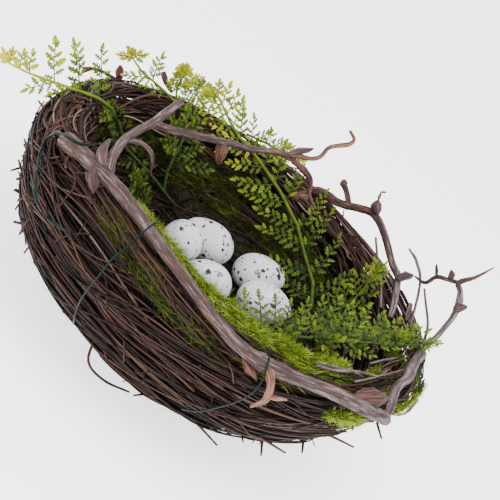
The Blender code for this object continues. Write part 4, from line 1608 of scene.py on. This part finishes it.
BRANCHES: tuple[Branch, ...] = (
    Branch("rim_branch", (
        ((-105, -66, 96.5, 5.2), (-100, -70, 98.6, 5.3), (-94.6, -73.9, 100.6, 4.6),
         (-82.7, -81.3, 103.6, 4.8), (-67.4, -89.4, 106.0, 4.2), (-45.6, -100.1, 106.6, 3.7),
         (-20, -109.5, 104.4, 3.45), (4, -114.5, 100.6, 3.4), (25, -116, 96.4, 3.5),
         (43, -114, 94.4, 3.9), (57.3, -109, 95.2, 3.7), (70.5, -102.5, 96.4, 3.7), (84.5, -94, 97.2, 3.7),
         (98.5, -84, 96.0, 4.0), (112, -68, 91.4, 4.2), (122.5, -50, 84.5, 3.6)),
        ((-72, -86, 104, 2.8), (-81, -81, 108, 2.8), (-85, -78, 112, 2.4), (-86, -74, 117.5, 0.9)),
    ), (
        Bud((-84, -84, 106), (-73, -101, 100), 8, 2, 0.35),
        Bud((38, -113, 92), (53, -119, 88), 9, 2, 0.4, 0.85),
        Bud((98, -86, 94), (121, -62, 92), 6, 3, 0.4),
        Bud((99, -77, 95), (115, -56, 98), 11, 9, 0.18, 0.6),
    ), sides=22, step=1.3, tints=((0.6, 0.35, 0.42, 0.45, 0.35, 0.2, 0.12), (0.25, 0.3))),
    Branch("upper_branch", (
        ((-74, -85, 105, 3.2), (-78.5, -77, 110.5, 3.0), (-80, -71, 114, 2.8), (-80.6, -66, 119, 2.6),
         (-78, -58, 126, 2.4), (-75.4, -52, 131.2, 2.5), (-73.8, -46, 137.5, 2.4), (-71.5, -40, 146, 2.2)),
        ((-80.6, -66, 118.9, 1.5), (-73.7, -62, 121.4, 1.5), (-67.8, -60, 120.8, 1.3),
         (-63.6, -58, 117, 1.1), (-58.6, -58, 108.6, 0.5)),
    ), tints=((0.2, 0.3, 0.3), (0.3, 0.45))),
    Branch("side_branch", (
        ((-76.5, -52.8, 131.1, 2.3), (-66.4, -44, 130.7, 2.3), (-53, -30, 132.6, 2.2),
         (-41.3, -17, 133.9, 2.0), (-28.9, -4, 134.9, 1.8), (-19.3, 8, 136.9, 1.7), (-10.8, 17, 137.4, 1.8),
         (1.6, 28, 133, 1.7), (8.6, 33, 128.2, 1.5), (12.6, 36, 120.3, 1.3), (20.8, 38, 115.2, 0.7)),
        ((-9.5, 17.5, 138, 1.3), (-5.6, 21, 140.5, 1.35), (0.6, 26, 142.2, 1.3), (3.7, 30, 145.2, 1.3),
         (3.9, 33, 150.7, 1.3), (6.5, 36, 153.7, 1.3), (11.5, 40, 158, 1.25), (12, 42, 161.7, 1.15),
         (6.9, 44, 163.1, 0.9)),
    ), (
        Bud((-42, -17.5, 134), (-36, -18, 121.5), 8.5, 6, 0.28, 0.68),
        Bud((-12, 17, 137.5), (-2, 27, 147.5), 4.6, 4, 0.12, 0.35),
        Bud((13, 35.5, 120), (7.0, 35, 112.5), 8, 6, 0.28, 0.7),
    ), tints=((0.35, 0.4, 0.45, 0.6, 0.75), (0.7, 0.8, 0.9))),
    Branch("hooked_twig", (
        ((50, -110.5, 94, 2.6), (57, -116, 93, 2.5), (61, -119, 89, 2.2), (62.5, -120, 83, 1.9),
         (59, -120, 75, 0.7)),
        ((62, -119.5, 85.5, 1.5), (66, -119, 87.5, 1.3), (71, -116, 89.5, 0.6)),
    ), rough=0.13, tints=((0.7, 0.9, 1.0), (0.8, 0.9))),
    Branch("bark_strip", (
        ((121, -53, 86, 2.4), (120, -47, 90.5, 3.0), (117.5, -40, 94.4, 3.0), (117, -33, 96.8, 2.9),
         (119, -20, 97.8, 3.0), (119, 0, 97.6, 2.9), (120, 15, 98.2, 3.2), (121, 19, 97.4, 2.3)),
    ), tints=((0.3, 0.1, 0.0),)),
    Branch("back_branch", (
        ((12, 105, 94.5, 2.6), (17, 103.5, 98, 3.2), (22.5, 101.5, 100.5, 3.1), (28.3, 98.5, 102.2, 2.7),
         (34.6, 98, 105, 2.6), (40.8, 97, 108.8, 2.5), (47.7, 94, 113.5, 2.6), (53.1, 91, 114.3, 2.5),
         (59.2, 88, 112.6, 2.4), (65.8, 84, 109.8, 2.4), (72, 79, 107.1, 2.4), (78, 73, 104.9, 2.3),
         (83.9, 67, 104.3, 2.3), (86.5, 62, 102.2, 2.2), (92, 50, 96.4, 2.1), (95, 42, 91.6, 1.7)),
        ((36, 98, 105.5, 2.0), (29.5, 99, 111, 1.8), (24.5, 99, 114, 2.1)),
    ), (
        Bud((50.8, 92, 114.5), (46.6, 92, 123.2), 7.2, 7.2, 0.1, 0.5),
        Bud((46.9, 92, 122.4), (44.6, 92, 129.2), 1.8, 1.8, 0.1, 0.8),
        Bud((44.8, 92, 128.4), (47.6, 92, 130.6), 1.4, 1.4, 0.1, 0.8),
        Bud((84, 64, 103), (90, 62, 113.5), 7, 5, 0.25, 0.2),
        Bud((25.8, 99, 112.2), (23.2, 99, 116.6), 5, 5, 0.1, 0.5),
    ), tints=((0.5, 0.56, 0.52, 0.38, 0.1, 0.0), (0.55, 0.5))),
    Branch("thin_twig_1", (
        ((60, 85, 106.5, 0.9), (69, 74, 101, 0.8), (80, 64, 94, 0.8), (88, 52, 88, 0.9)),
    ), sides=8),
    Branch("thin_twig_2", (
        ((78, 65, 122.9, 0.7), (86, 60, 121.8, 1.1), (95.4, 52, 116, 0.9), (107, 34, 98, 0.9)),
    ), sides=8),
    Branch("thin_twig_3", (
        ((99, 47.5, 117, 0.8), (103.1, 42, 114.6, 0.8), (113, 33, 107.4, 0.9), (118, 30, 98.4, 0.9)),
    ), sides=8),
    Branch("thin_twig_4", (
        ((98.7, 44, 106.2, 1.2), (100, 42, 103.5, 1.6), (102.3, 39, 97.6, 0.9)),
    ), sides=8),
    Branch("right_twig", (
        ((119.4, 27, 95.0, 1.9), (120.3, 23, 107, 1.8), (120.2, 22, 114.7, 1.8), (119, 20, 127.4, 1.8),
         (116.3, 20, 135.6, 2.1), (112.2, 20, 141.5, 1.7), (108.6, 20, 145, 1.7), (113.4, 18, 155, 1.1),
         (116.8, 16, 166.8, 0.4)),
    ), (Bud((116, 19, 131), (121, 18, 138), 5, 5, 0.2, 0.35),), tints=((0.1, 0.0, 0.0, 0.1, 0.75, 0.9),)),
    Branch("right_twig_arm", (
        ((109, 20, 145, 1.4), (103, 26, 139.4, 1.4), (98.2, 34, 133, 1.3), (96.5, 42, 122.6, 1.2),
         (90.5, 52, 117.3, 0.6)),
    ), (
        Bud((98.5, 33, 133), (93.3, 34, 139.5), 2, 2, 0.1),
        Bud((105, 24, 141), (101, 25, 146), 4.5, 3.5, 0.2),
    ), tints=((0.1, 0.3, 0.7, 0.4, 0.2),)),
    Branch("red_twig", (
        ((-99, 88, 82, 1.5), (-104, 86, 80, 1.4), (-110, 80, 80, 1.3), (-117, 72, 82, 1.3),
         (-122, 65, 84, 1.2), (-127, 58, 86, 1.1), (-132, 52, 86, 1.2), (-135, 46, 84.5, 1.8)),
    ), (Bud((-117.5, 70.5, 83), (-123, 71, 91), 6.5, 5, 0.1),), red=True),
    Branch("red_bud_stub", (
        ((-89, 76, 96.8, 1.0), (-96, 79, 98.4, 1.8), (-101, 82, 100.5, 1.5)),
    ), red=True),
)


@dataclass(frozen=True)
class Wire:
    """A floral wire that binds a branch to the wall.

    Attributes:
        name: The CAD node it stands for.
        route: The points of its middle line.
        doubled: Whether a second strand is twisted round it.
        step: Spacing along it.
        sides: Sides of a strand.
        radius: Radius of the first strand.
        twin_radius: Radius of the second.
        apart: Room between the middles of the two.
        twist: How far the second turns at each step, in radians.
    """

    name: str
    route: Route
    doubled: bool = False
    step: float = 1.6
    sides: int = 8
    radius: float = 0.5
    twin_radius: float = 0.42
    apart: float = 0.95
    twist: float = 0.22

    def build(self, finishes: Finishes) -> None:
        """Draws the wire, with a second strand twisted round it where it is doubled.

        Args:
            finishes: The nest's materials.
        """
        soup = Soup()
        points = smooth_route(self.route, self.step)
        count = len(points)
        soup.tube(points, np.full(count, self.radius), self.sides, 0.4, 2.0)
        if self.doubled:
            _, across, up = carried_frames(points)
            turn = np.arange(count)[:, None] * self.twist
            twin = points + (across * np.cos(turn) + up * np.sin(turn)) * self.apart
            soup.tube(twin, np.full(count, self.twin_radius), self.sides, 0.7, 4.0)
        soup.make(self.name + "_lacquered", finishes.wire, (self.name,), "wire")


WIRES: tuple[Wire, ...] = (
    Wire("wire_left", (
        (-88, -71, 107), (-91, -76, 109), (-97, -81, 107.6), (-104, -78, 104.6), (-110, -70, 99),
        (-114, -65, 89), (-112, -72, 86), (-109, -79, 84), (-102, -86, 77), (-94, -92, 71), (-83, -101, 72),
        (-71, -108, 77),
    ), True),
    Wire("wire_front", (
        (-37, -98.0, 110), (-38.5, -104.5, 112.2), (-40, -111, 107), (-41, -116, 99), (-43, -121, 90),
        (-43, -121, 76), (-43, -117, 60), (-42, -111, 49), (-40, -106, 40), (-39, -99, 33),
    )),
    Wire("wire_right", (
        (48, -107.5, 97.5), (50, -112, 99.6), (52, -117, 97), (55, -120, 90), (55, -119, 80), (52, -116, 69),
        (47, -111, 57), (41, -106, 45), (34, -101, 37),
    )),
)


# ------------------------ ferns

@dataclass(frozen=True)
class Leaflet:
    """The shape that every leaflet has: a midrib and round-ended lobes in pairs, one long.

    Attributes:
        pairs: Place, splay and length of each pair of lobes.
        midrib: Half the width of the midrib.
        lobe: Half the width of a lobe.
        stagger: How far the second lobe of a pair grows behind the first.
        droop: How far the edges hang under the midline.
        shares: Shares of a lobe's length at which it has vertices.
        wide: Its width there.
    """

    pairs: tuple[Spot, ...] = ((0.19, 0.90, 0.30), (0.44, 0.80, 0.29), (0.69, 0.65, 0.2))
    midrib: float = 0.085
    lobe: float = 0.062
    stagger: float = 0.03
    droop: float = 0.03
    shares: tuple[float, ...] = (0.0, 0.4, 0.8, 1.0)
    wide: tuple[float, ...] = (0.4, 0.9, 1.0, 0.5)

    def lobes(self) -> list[tuple[float, ...]]:
        """Place, splay, length and half the width of the midrib and of each lobe.

        Returns:
            One row for each, with the midrib first.
        """
        found = [(0.0, 0.0, 1.0, self.midrib)]
        for start, splay, length in self.pairs:
            found += [(start, splay, length, self.lobe), (start + self.stagger, -splay, length, self.lobe)]
        return found

    def shape(self) -> tuple[Array, Array, Array, Array]:
        """Lays out the vertices.

        Returns:
            Midline points (along, across, up), how far each vertex lies off its midline, the quads,
            and a shade for each vertex.
        """
        t, wide, droop = np.array(self.shares), np.array(self.wide), np.array([0.0, 0.0, self.droop])
        rows = len(t)
        lobes, middle, off, quads = self.lobes(), [], [], []
        for index, (start, splay, length, half) in enumerate(lobes):
            way = np.array([math.cos(splay), math.sin(splay), 0.0])
            edge = np.outer(wide * half, (-way[1], way[0], 0.0))
            middle.append(np.tile(np.array([start, 0.0, 0.0]) + np.outer(t * length, way), (3, 1)))
            off.append(np.vstack([-edge - droop, edge * 0, edge - droop]))
            for side in (0, rows):
                k = np.arange(rows - 1) + index * 3 * rows + side
                quads.append(np.stack([k, k + 1, k + 1 + rows, k + rows], axis=1))
        return np.vstack(middle), np.vstack(off), np.vstack(quads), np.tile(0.12 * t - 0.05, 3 * len(lobes))


LEAFLET = Leaflet().shape()


@dataclass
class Fern:
    """One fern frond: a stem, its side sprays, and lobed leaflets along each spray.

    Attributes:
        name: The CAD node it stands for.
        stem: The stem's route, as (x, y, z, radius).
        facing: The way the flat of the frond looks.
        sprays: Each side spray as (root, tip, width).
        paired: Count, length, width, lean, first and last place of the sprays set in pairs.
        tone: The frond's tone at its root and at its tip.
        curl: How far the tips of paired sprays lean off the wall.
        spacing: Room between leaflets over their length.
        bush: Count, shortest, longest, first and last place of small sprays that fill the frond.
        bush_width: Least and greatest width of those.
        snap: How near the stem a spray's root has to be to move onto it.
        end_width: Width of the spray at the stem's end.
    """

    name: str
    stem: Route
    facing: Spot
    sprays: tuple[tuple[Spot, Spot, float], ...] = ()
    paired: tuple[float, ...] = (0, 0, 0, 0, 0, 0)
    tone: Span = (0.25, 0.6)
    curl: float = 2.5
    spacing: float = 0.8
    bush: tuple[float, ...] = (0, 0, 0, 0, 0)
    bush_width: Span = (4.5, 7.5)
    snap: float = 5
    end_width: float = 5.0

    def along_stem(self, per_span: int) -> Array:
        """Points along the straight spans of the stem.

        Args:
            per_span: How many points each span has.

        Returns:
            The points, one row each.
        """
        nodes = np.array(self.stem, float)[:, :3]
        t = np.arange(per_span)[:, None] / per_span
        return np.vstack([a + (b - a) * t for a, b in zip(nodes, nodes[1:])] + [nodes[-1:]])

    def set_sprays(self) -> list[Spray]:
        """The sprays that are set one by one, as root, tip, width and place up the stem.

        Returns:
            The sprays.
        """
        fine, found = self.along_stem(12), []
        for root, tip, width in self.sprays:
            root = np.array(root, float)
            gaps = np.linalg.norm(fine - root, axis=1)
            near = int(gaps.argmin())
            start = fine[near] if gaps[near] < self.snap else root
            found.append((start, np.array(tip, float), width, near / len(fine)))
        return found

    def paired_sprays(self) -> list[Spray]:
        """The sprays that stand in pairs, shorter towards the tip, in the same form.

        Returns:
            The sprays.
        """
        count, length, width, lean, first, last = self.paired
        route, facing, found = self.along_stem(6), unit_one(self.facing), []
        lean = math.radians(lean)
        for index in range(int(count)):
            place = first + (last - first) * index / max(count - 1, 1)
            knot = min(int(place * (len(route) - 1)), len(route) - 2)
            root, way = route[knot], unit_one(route[knot + 1] - route[knot])
            reach = length * (1 - 0.75 * (index / count) ** 1.5)
            lift = facing * self.curl * reach / length
            broad = width * (0.6 + 0.4 * reach / length)
            for hand in (-1, 1):
                side = np.cross(way, facing) * hand
                tip = root + (way * math.cos(lean) + side * math.sin(lean)) * reach
                found.append((root, tip + lift, broad, place))
        return found

    def filling(self, found: list[Spray], rng: Chance) -> list[Spray]:
        """Grows small sprays between the others.

        Args:
            found: The other sprays, of which the nearest ones give the way.
            rng: The source of their variety.

        Returns:
            The small sprays, in the same form.
        """
        count, shortest, longest, first, last = self.bush
        fine, more = self.along_stem(12), []
        for _ in range(int(count)):
            place = rng.uniform(first, last)
            root = fine[int(place * (len(fine) - 1))]
            near = min(found, key=lambda spray: abs(spray[3] - place) + rng.uniform(0, 0.15))
            way = unit_one(near[1] - near[0]) + rng.normal(0, 0.38, 3)
            tip = root + unit_one(way) * rng.uniform(shortest, longest)
            more.append((root, tip, rng.uniform(*self.bush_width), place))
        return more

    def leaflets(self, soup: Soup, roots: Array, ways: Array, sizes: Array, tones: Array,
                 rng: Chance) -> None:
        """Adds lobed leaflets.

        Args:
            soup: The frond's mesh.
            roots: Where each grows from.
            ways: Which way each points.
            sizes: Their lengths.
            tones: Their tones.
            rng: The source of their variety.
        """
        count = len(roots)
        facing = unit(np.array(self.facing, float) + rng.normal(0, 0.22, (count, 3)))
        ways = unit(ways + rng.normal(0, 0.08, (count, 3)))
        side = unit(np.cross(ways, facing))
        up = np.cross(side, ways)
        middle, off, quads, shade = LEAFLET
        local = middle + off * (1.0 + np.clip(tones - 0.45, 0, 0.5) * 2.2)[:, None, None]
        ahead, across, above = local[..., 0:1], local[..., 1:2], local[..., 2:3]
        turned = ahead * ways[:, None] + across * side[:, None] * rng.uniform(0.85, 1.1, (count, 1, 1))
        turned = turned + (above + (ahead ** 2) * rng.normal(0.05, 0.12, (count, 1, 1))) * up[:, None]
        verts = (roots[:, None] + turned * sizes[:, None, None]).reshape(-1, 3)
        jump = np.arange(count)[:, None, None] * len(middle)
        tone = np.clip(tones[:, None] + shade[None, :], 0, 1).ravel()
        flat = np.stack([verts[:, 0], verts[:, 2]], axis=1)
        soup.add(verts, (quads[None] + jump).reshape(-1, 4), tone, verts, flat)

    def spray(self, soup: Soup, spray: Spray, tone: float, rng: Chance) -> None:
        """Adds one spray: its rib and its leaflets.

        Args:
            soup: The frond's mesh.
            spray: Its root, tip and width, and its place up the stem.
            tone: Its tone at its root.
            rng: The source of its variety.
        """
        root, tip, width, _ = spray
        facing, way = unit_one(self.facing), tip - root
        length = float(np.linalg.norm(way))
        way = way / length
        side = np.cross(way, facing)
        bow = side * rng.normal(0, 0.05) * length + facing * rng.normal(0.02, 0.03) * length
        t = np.linspace(0, 1, 9)
        line = root + np.outer(t, tip - root) + np.outer(np.sin(t * math.pi), bow)
        soup.tube(line, 0.38 * (1 - 0.6 * t) + 0.08, 5, max(tone - 0.12, 0.0), rng.uniform(0, 20))
        broad = min(max(width * 0.34 + 3.2, 4.6), 7.3)
        count = max(3, round(length / (broad * self.spacing)))
        hand = np.tile([-1.0, 1.0], count)
        place = 0.09 + 0.86 * (np.repeat(np.arange(count), 2) + 0.25 * hand + 0.25) / count
        spot = root + np.outer(place, tip - root) + np.outer(np.sin(place * math.pi), bow)
        swell = 0.82 + 0.22 * np.sin(math.pi * np.minimum(place * 1.2 + 0.1, 1.0))
        size = broad * swell * (1 - 0.22 * place ** 2)
        lean = 1.0 - 0.3 * place + rng.normal(0, 0.1, len(place))
        course = np.cos(lean)[:, None] * way + (np.sin(lean) * hand)[:, None] * side
        tones = tone + place * 0.2 + rng.normal(0, 0.11, len(place))
        self.leaflets(soup, spot, course, size * rng.uniform(0.85, 1.12, len(place)), tones, rng)
        last = (tip - way * broad * 0.35)[None]
        self.leaflets(soup, last, way[None], np.array([broad * 0.9]), np.array([tone + 0.25]), rng)

    def build(self, finishes: Finishes) -> None:
        """Makes the frond: its stem, its sprays, and one more spray at the stem's end.

        Args:
            finishes: The nest's materials.
        """
        rng, soup = np.random.default_rng(sum(ord(letter) for letter in self.name)), Soup()
        nodes, per_span = np.array(self.stem, float), 8
        dense = self.along_stem(per_span)
        count = len(dense)
        radii = np.interp(np.arange(count) / per_span, np.arange(len(nodes)), nodes[:, 3]) * 0.85
        root_tone, tip_tone = self.tone
        soup.tube(dense, radii, 7, np.linspace(root_tone, tip_tone, count), 1.0)
        found = self.set_sprays() + self.paired_sprays()
        for spray in found + self.filling(found, rng):
            self.spray(soup, spray, root_tone + (tip_tone - root_tone) * spray[3] ** 1.6, rng)
        self.spray(soup, (nodes[-2, :3], nodes[-1, :3], self.end_width, 1.0), tip_tone, rng)
        soup.make(self.name + "_leaves", finishes.fern, (self.name,), "fern")


FERNS: tuple[Fern, ...] = (
    Fern("fern_left", (
        (-44, 60, 48.5, 1.3), (-68, 52, 58, 1.3), (-87, 36, 68, 1.3), (-98, 22, 84, 1.3), (-105, 11, 93, 1.3),
        (-113, -4, 99, 1.2), (-122, -5, 96, 1.1), (-137, -6, 90, 1.1), (-152, -8, 85, 0.8),
        (-163, -10, 83, 0.7), (-170, -10, 86.5, 0.4),
    ), (0.2, -0.87, 0.45), (
        ((-137, -6, 90), (-151, 2, 106), 12), ((-137, -6, 90), (-147, -12, 78), 9),
        ((-122, -5, 96), (-137, 2, 107), 11), ((-129, -1.7, 101.2), (-143, 6, 111), 10),
        ((-112, -3, 99), (-129, 10, 117), 11), ((-157, -9, 84), (-161, -4, 91), 7),
        ((-151, -8, 85.4), (-157, -3, 94), 8), ((-163, -10, 83.2), (-166.5, -7, 89), 5),
        ((-128, -5.5, 93.6), (-134, -10, 84), 8),
    ), (6, 14, 6, 50, 0.10, 0.40), (0.06, 0.98), bush=(5, 10, 18, 0.03, 0.45)),
    Fern("fern_back", (
        (57.5, 46.5, 50.4, 1.4), (57, 58, 57, 1.4), (49, 70, 64, 1.4), (32, 82, 71, 1.3), (20, 88, 78, 1.3),
        (-2, 93, 86, 1.2), (-16, 93.5, 90, 1.2), (-30, 91, 95, 1.1), (-42, 88, 98, 1.0), (-52, 92, 100, 1.0),
        (-60, 96, 102.4, 0.9), (-67, 97, 105, 0.7), (-74, 94, 108, 0.4),
    ), (-0.15, -0.85, 0.5), (), (13, 31, 9, 50, 0.12, 0.93), (0.25, 0.8)),
    Fern("fern_rim", (
        (-40, 100, 97.4, 0.9), (-27, 102, 100.4, 0.9), (-19, 103, 102, 0.8), (-12, 103, 104, 0.7),
        (-3, 102, 108, 0.4),
    ), (0.1, -0.8, 0.6), (), (4, 9, 5, 50, 0.15, 0.85), (0.4, 0.8)),
    Fern("fern_back_left", (
        (-80, 64, 98.4, 1.0), (-92, 64, 99.6, 0.9), (-101, 62, 100.6, 0.9), (-109, 60, 101.5, 0.8),
        (-117, 53, 107, 0.6), (-122, 45, 113.5, 0.4),
    ), (0.2, -0.85, 0.5), (
        ((-101, 62, 100.6), (-106, 66, 115), 7), ((-101, 62, 100.6), (-115, 54, 95), 6),
        ((-92, 64, 99.6), (-104, 58, 94.5), 5), ((-117, 53, 107), (-113, 53, 114), 5),
        ((-117, 53, 107), (-124, 49, 105), 4),
    ), tone=(0.4, 0.9)),
    Fern("fern_back_small", (
        (-82, 69, 94.8, 0.8), (-88, 74, 102, 0.8), (-90, 79, 107, 0.6), (-92.5, 82, 113, 0.4),
    ), (0.2, -0.85, 0.5), (), (4, 7, 4, 55, 0.3, 0.85), (0.4, 0.8)),
    Fern("fern_inner_left", (
        (-55, 60, 50.6, 1.2), (-61, 62, 62, 1.2), (-64, 65, 74, 1.1), (-66, 67, 83, 1.0), (-72, 70, 92, 0.9),
        (-76, 78, 98.6, 0.8), (-78, 84, 104, 0.6), (-80.5, 90, 110, 0.4),
    ), (0.5, -0.75, 0.45), (
        ((-63, 62, 69), (-42, 73, 76), 8),
    ), (7, 16, 7, 52, 0.28, 0.93), (0.12, 0.65), bush=(6, 8, 15, 0.15, 0.55)),
    Fern("fern_right", (
        (73, 38, 54, 1.2), (74, 43, 66, 1.1), (73, 49, 80, 1.0), (73, 54, 93, 0.8), (73, 60, 108, 0.4),
    ), (-0.6, -0.7, 0.4), (), (6, 18, 8, 48, 0.15, 0.9), (0.2, 0.5)),
    Fern("fern_front", (
        (30, -45, 39.9, 1.2), (34, -51, 60, 1.2), (42, -46, 74, 1.2), (58, -33, 80, 1.2), (77, -17, 86, 1.1),
        (93, -5, 93.5, 1.0), (107, 4, 99.6, 0.8), (115, 8, 106, 0.6), (121, 11, 113, 0.4),
    ), (-0.1, -0.8, 0.6), (
        ((38, -49, 68), (20, -34, 80), 11), ((41, -46, 73), (27, -32, 84), 11),
        ((45, -43, 76), (36, -26, 85), 11), ((51, -38, 78), (43, -20, 87), 8),
        ((56, -34, 79), (50, -13, 91), 8), ((62, -30, 81), (56, -6, 95), 8),
        ((67, -26, 83), (63, 0, 99), 9), ((73, -21, 85), (71, 4, 100), 9), ((79, -15, 87), (80, 9, 103), 9),
        ((86, -10, 90), (88, 12, 104), 8), ((93, -5, 93.5), (97, 13, 107), 8),
        ((100, -1, 97), (106, 13, 110), 7), ((48, -41, 77), (60, -52, 86), 8),
        ((66, -27, 83), (79, -40, 91), 8), ((84, -11, 89), (97, -24, 97), 8),
    ), tone=(0.26, 0.34), bush=(30, 8, 19, 0.12, 0.88)),
    Fern("fern_left_small", (
        (-46, 2, 39.8, 0.9), (-53, -4, 57, 0.9), (-62, -12, 74, 0.8), (-70, -20, 88, 0.4),
    ), (0.6, -0.6, 0.5), (), (5, 11, 6, 50, 0.3, 0.9), (0.06, 0.3), bush=(7, 7, 12, 0.3, 0.9)),
)

EGGS: tuple[Egg, ...] = (
    Egg("egg_1", (-26.5, 19.5, 53.8), (-0.3, 0.95, 0.0), 29.0, 24.6, 20),
    Egg("egg_2", (-15.6, 47.0, 51.0), (-1.0, -0.05, 0.0), 34.0, 24.6, 75, -1.0),
    Egg("egg_3", (-1.0, 3.8, 51.2), (-0.93, -0.35, -0.1), 32.0, 24.6, 140, -1.0),
    Egg("egg_4", (20.8, 56.0, 51.2), (0.88, 0.38, 0.25), 33.0, 24.4, 215),
    Egg("egg_5", (33.5, 31.0, 51.4), (0.93, 0.33, 0.15), 34.0, 24.6, 300),
)

MOSSES: tuple[Moss, ...] = (
    Moss("rim_moss", 19000, (4, 10), 0.76, (232, 332, 95.2, 92.0, 6.6), 31, (0.35, 0.8, 0.95, 0.4)),
    Moss("outer_moss_front", 1300, (3, 7), 0.52, (315, 327, 127.4, 85.0, 3.2), 32),
    Moss("outer_moss_right", 1700, (3, 6), 0.52, (338, 366, 125.8, 88.6, 3.2), 33, (0.9, 0.5, 0.35, 0.6)),
)

WALL_MOSSES: tuple[WallMoss, ...] = (
    WallMoss("outer_moss_fibres", 2100, (236, 284), (-6, 18), (-1.0, 1.4), (4, 10), 0.27, 41),
    WallMoss("inner_moss_fibres", 6800, (35, 185), (-68, -20), (0.0, 2.6), (4, 10), 0.26, 42),
    WallMoss("back_moss_fibres", 3600, (55, 128), (-70, -30), (0.4, 3.2), (4, 9), 0.33, 45),
    WallMoss("right_moss_fibres", 1700, (-26, 14), (-12, 10), (0.4, 4.2), (3, 7), 0.55, 43),
    WallMoss("front_moss_fibres", 1900, (290, 342), (-26, 12), (-0.5, 2.6), (5, 12), 0.55, 44),
)


# ------------------------ studio

@dataclass(frozen=True)
class Lamp:
    """A soft lamp.

    Attributes:
        name: Its name.
        spot: Where it hangs, in metres.
        size: How wide it is.
        power: Its strength, in watts.
        aim: The point it looks at.
    """

    name: str
    spot: Spot
    size: float
    power: float
    aim: Spot = (0, 0, 0.06)

    def hang(self) -> None:
        """Hangs it in the scene."""
        data = bpy.data.lights.new(self.name, "AREA")
        data.size, data.energy = self.size, self.power
        lamp = bpy.data.objects.new(self.name, data)
        lamp.location = self.spot
        lamp.rotation_euler = (Vector(self.aim) - Vector(self.spot)).to_track_quat("-Z", "Y").to_euler()
        bpy.context.scene.collection.objects.link(lamp)


@dataclass
class Studio:
    """The pale floor, the soft light and the camera at the photograph's angle.

    Attributes:
        elevation: How far above the horizon the camera is, in degrees.
        roll: How far it is turned about its view, in degrees.
        distance: How far it is from the rim's middle, in metres.
        lens: Its focal length, in millimetres.
        sensor: Its sensor's width, in millimetres.
        near: The nearest it sees, in metres.
        far: The furthest it sees.
        aim_right: How far to the right of the picture's middle the rim's middle lies, in metres.
        aim_up: How far above it.
        rim: The rim's middle.
        floor_reach: How far the floor goes to each side.
        floor_glow: How bright the floor glows, so that it shows as white.
        sky: How bright the white surroundings are.
        lamps: The lamps.
    """

    elevation: float = 25.0
    roll: float = 40.2
    distance: float = 1.1
    lens: float = 140.66
    sensor: float = 36.0
    near: float = 0.05
    far: float = 20.0
    aim_right: float = -0.003378
    aim_up: float = 0.007320
    rim: Spot = (0, 0, 0.09)
    floor_reach: float = 6
    floor_glow: float = 2.0
    sky: float = 1.5
    lamps: tuple[Lamp, ...] = (
        Lamp("key", (0.15, -0.45, 1.15), 0.8, 20.0), Lamp("fill", (-0.9, -0.9, 0.6), 1.2, 8.0),
    )

    def camera(self) -> None:
        """Places the camera."""
        tilt, roll = math.radians(self.elevation), math.radians(self.roll)
        ahead = Vector((0, math.cos(tilt), -math.sin(tilt)))
        level, above = Vector((1, 0, 0)), Vector((0, math.sin(tilt), math.cos(tilt)))
        right = level * math.cos(roll) + above * math.sin(roll)
        up = above * math.cos(roll) - level * math.sin(roll)
        spot = Vector(self.rim) - right * self.aim_right - up * self.aim_up - ahead * self.distance
        data = bpy.data.cameras.new("photo_camera")
        data.lens, data.sensor_width = self.lens, self.sensor
        data.clip_start, data.clip_end = self.near, self.far
        camera = bpy.data.objects.new("photo_camera", data)
        turn = Matrix((right, up, -ahead)).transposed().to_4x4()
        camera.matrix_world = Matrix.Translation(spot) @ turn
        bpy.context.scene.collection.objects.link(camera)
        bpy.context.scene.camera = camera

    def floor(self) -> None:
        """Lays the pale floor."""
        mesh, reach = bpy.data.meshes.new("floor"), self.floor_reach
        corners = [(-reach, -reach, 0), (reach, -reach, 0), (reach, reach, 0), (-reach, reach, 0)]
        mesh.from_pydata(corners, [], [(0, 1, 2, 3)])
        paint = Painter("pale_floor", 0.9, 0.1)
        paint.colour(linear(0.97, 0.97, 0.97))
        paint.shader.inputs["Emission Color"].default_value = (1, 1, 1, 1)
        paint.shader.inputs["Emission Strength"].default_value = self.floor_glow
        mesh.materials.append(paint.material)
        piece = bpy.data.objects.new("floor", mesh)
        bpy.context.scene.collection.objects.link(piece)

    def build(self) -> None:
        """Sets up the studio."""
        world = bpy.data.worlds.new("soft_studio")
        world.use_nodes = True
        background = world.node_tree.nodes["Background"]
        background.inputs["Color"].default_value = (1, 1, 1, 1)
        background.inputs["Strength"].default_value = self.sky
        bpy.context.scene.world = world
        self.floor()
        for lamp in self.lamps:
            lamp.hang()
        self.camera()


def main() -> None:
    """Builds the nest piece by piece."""
    logging.basicConfig(level=logging.INFO, format="%(name)s: %(message)s")
    Studio().build()
    finishes = Finishes()
    NestWall().build(finishes)
    MossBed().build(finishes)
    for group in (MOSSES, WALL_MOSSES, EGGS, BRANCHES, WIRES, FERNS):
        for piece in group:
            piece.build(finishes)


if __name__ == "__main__":
    main()
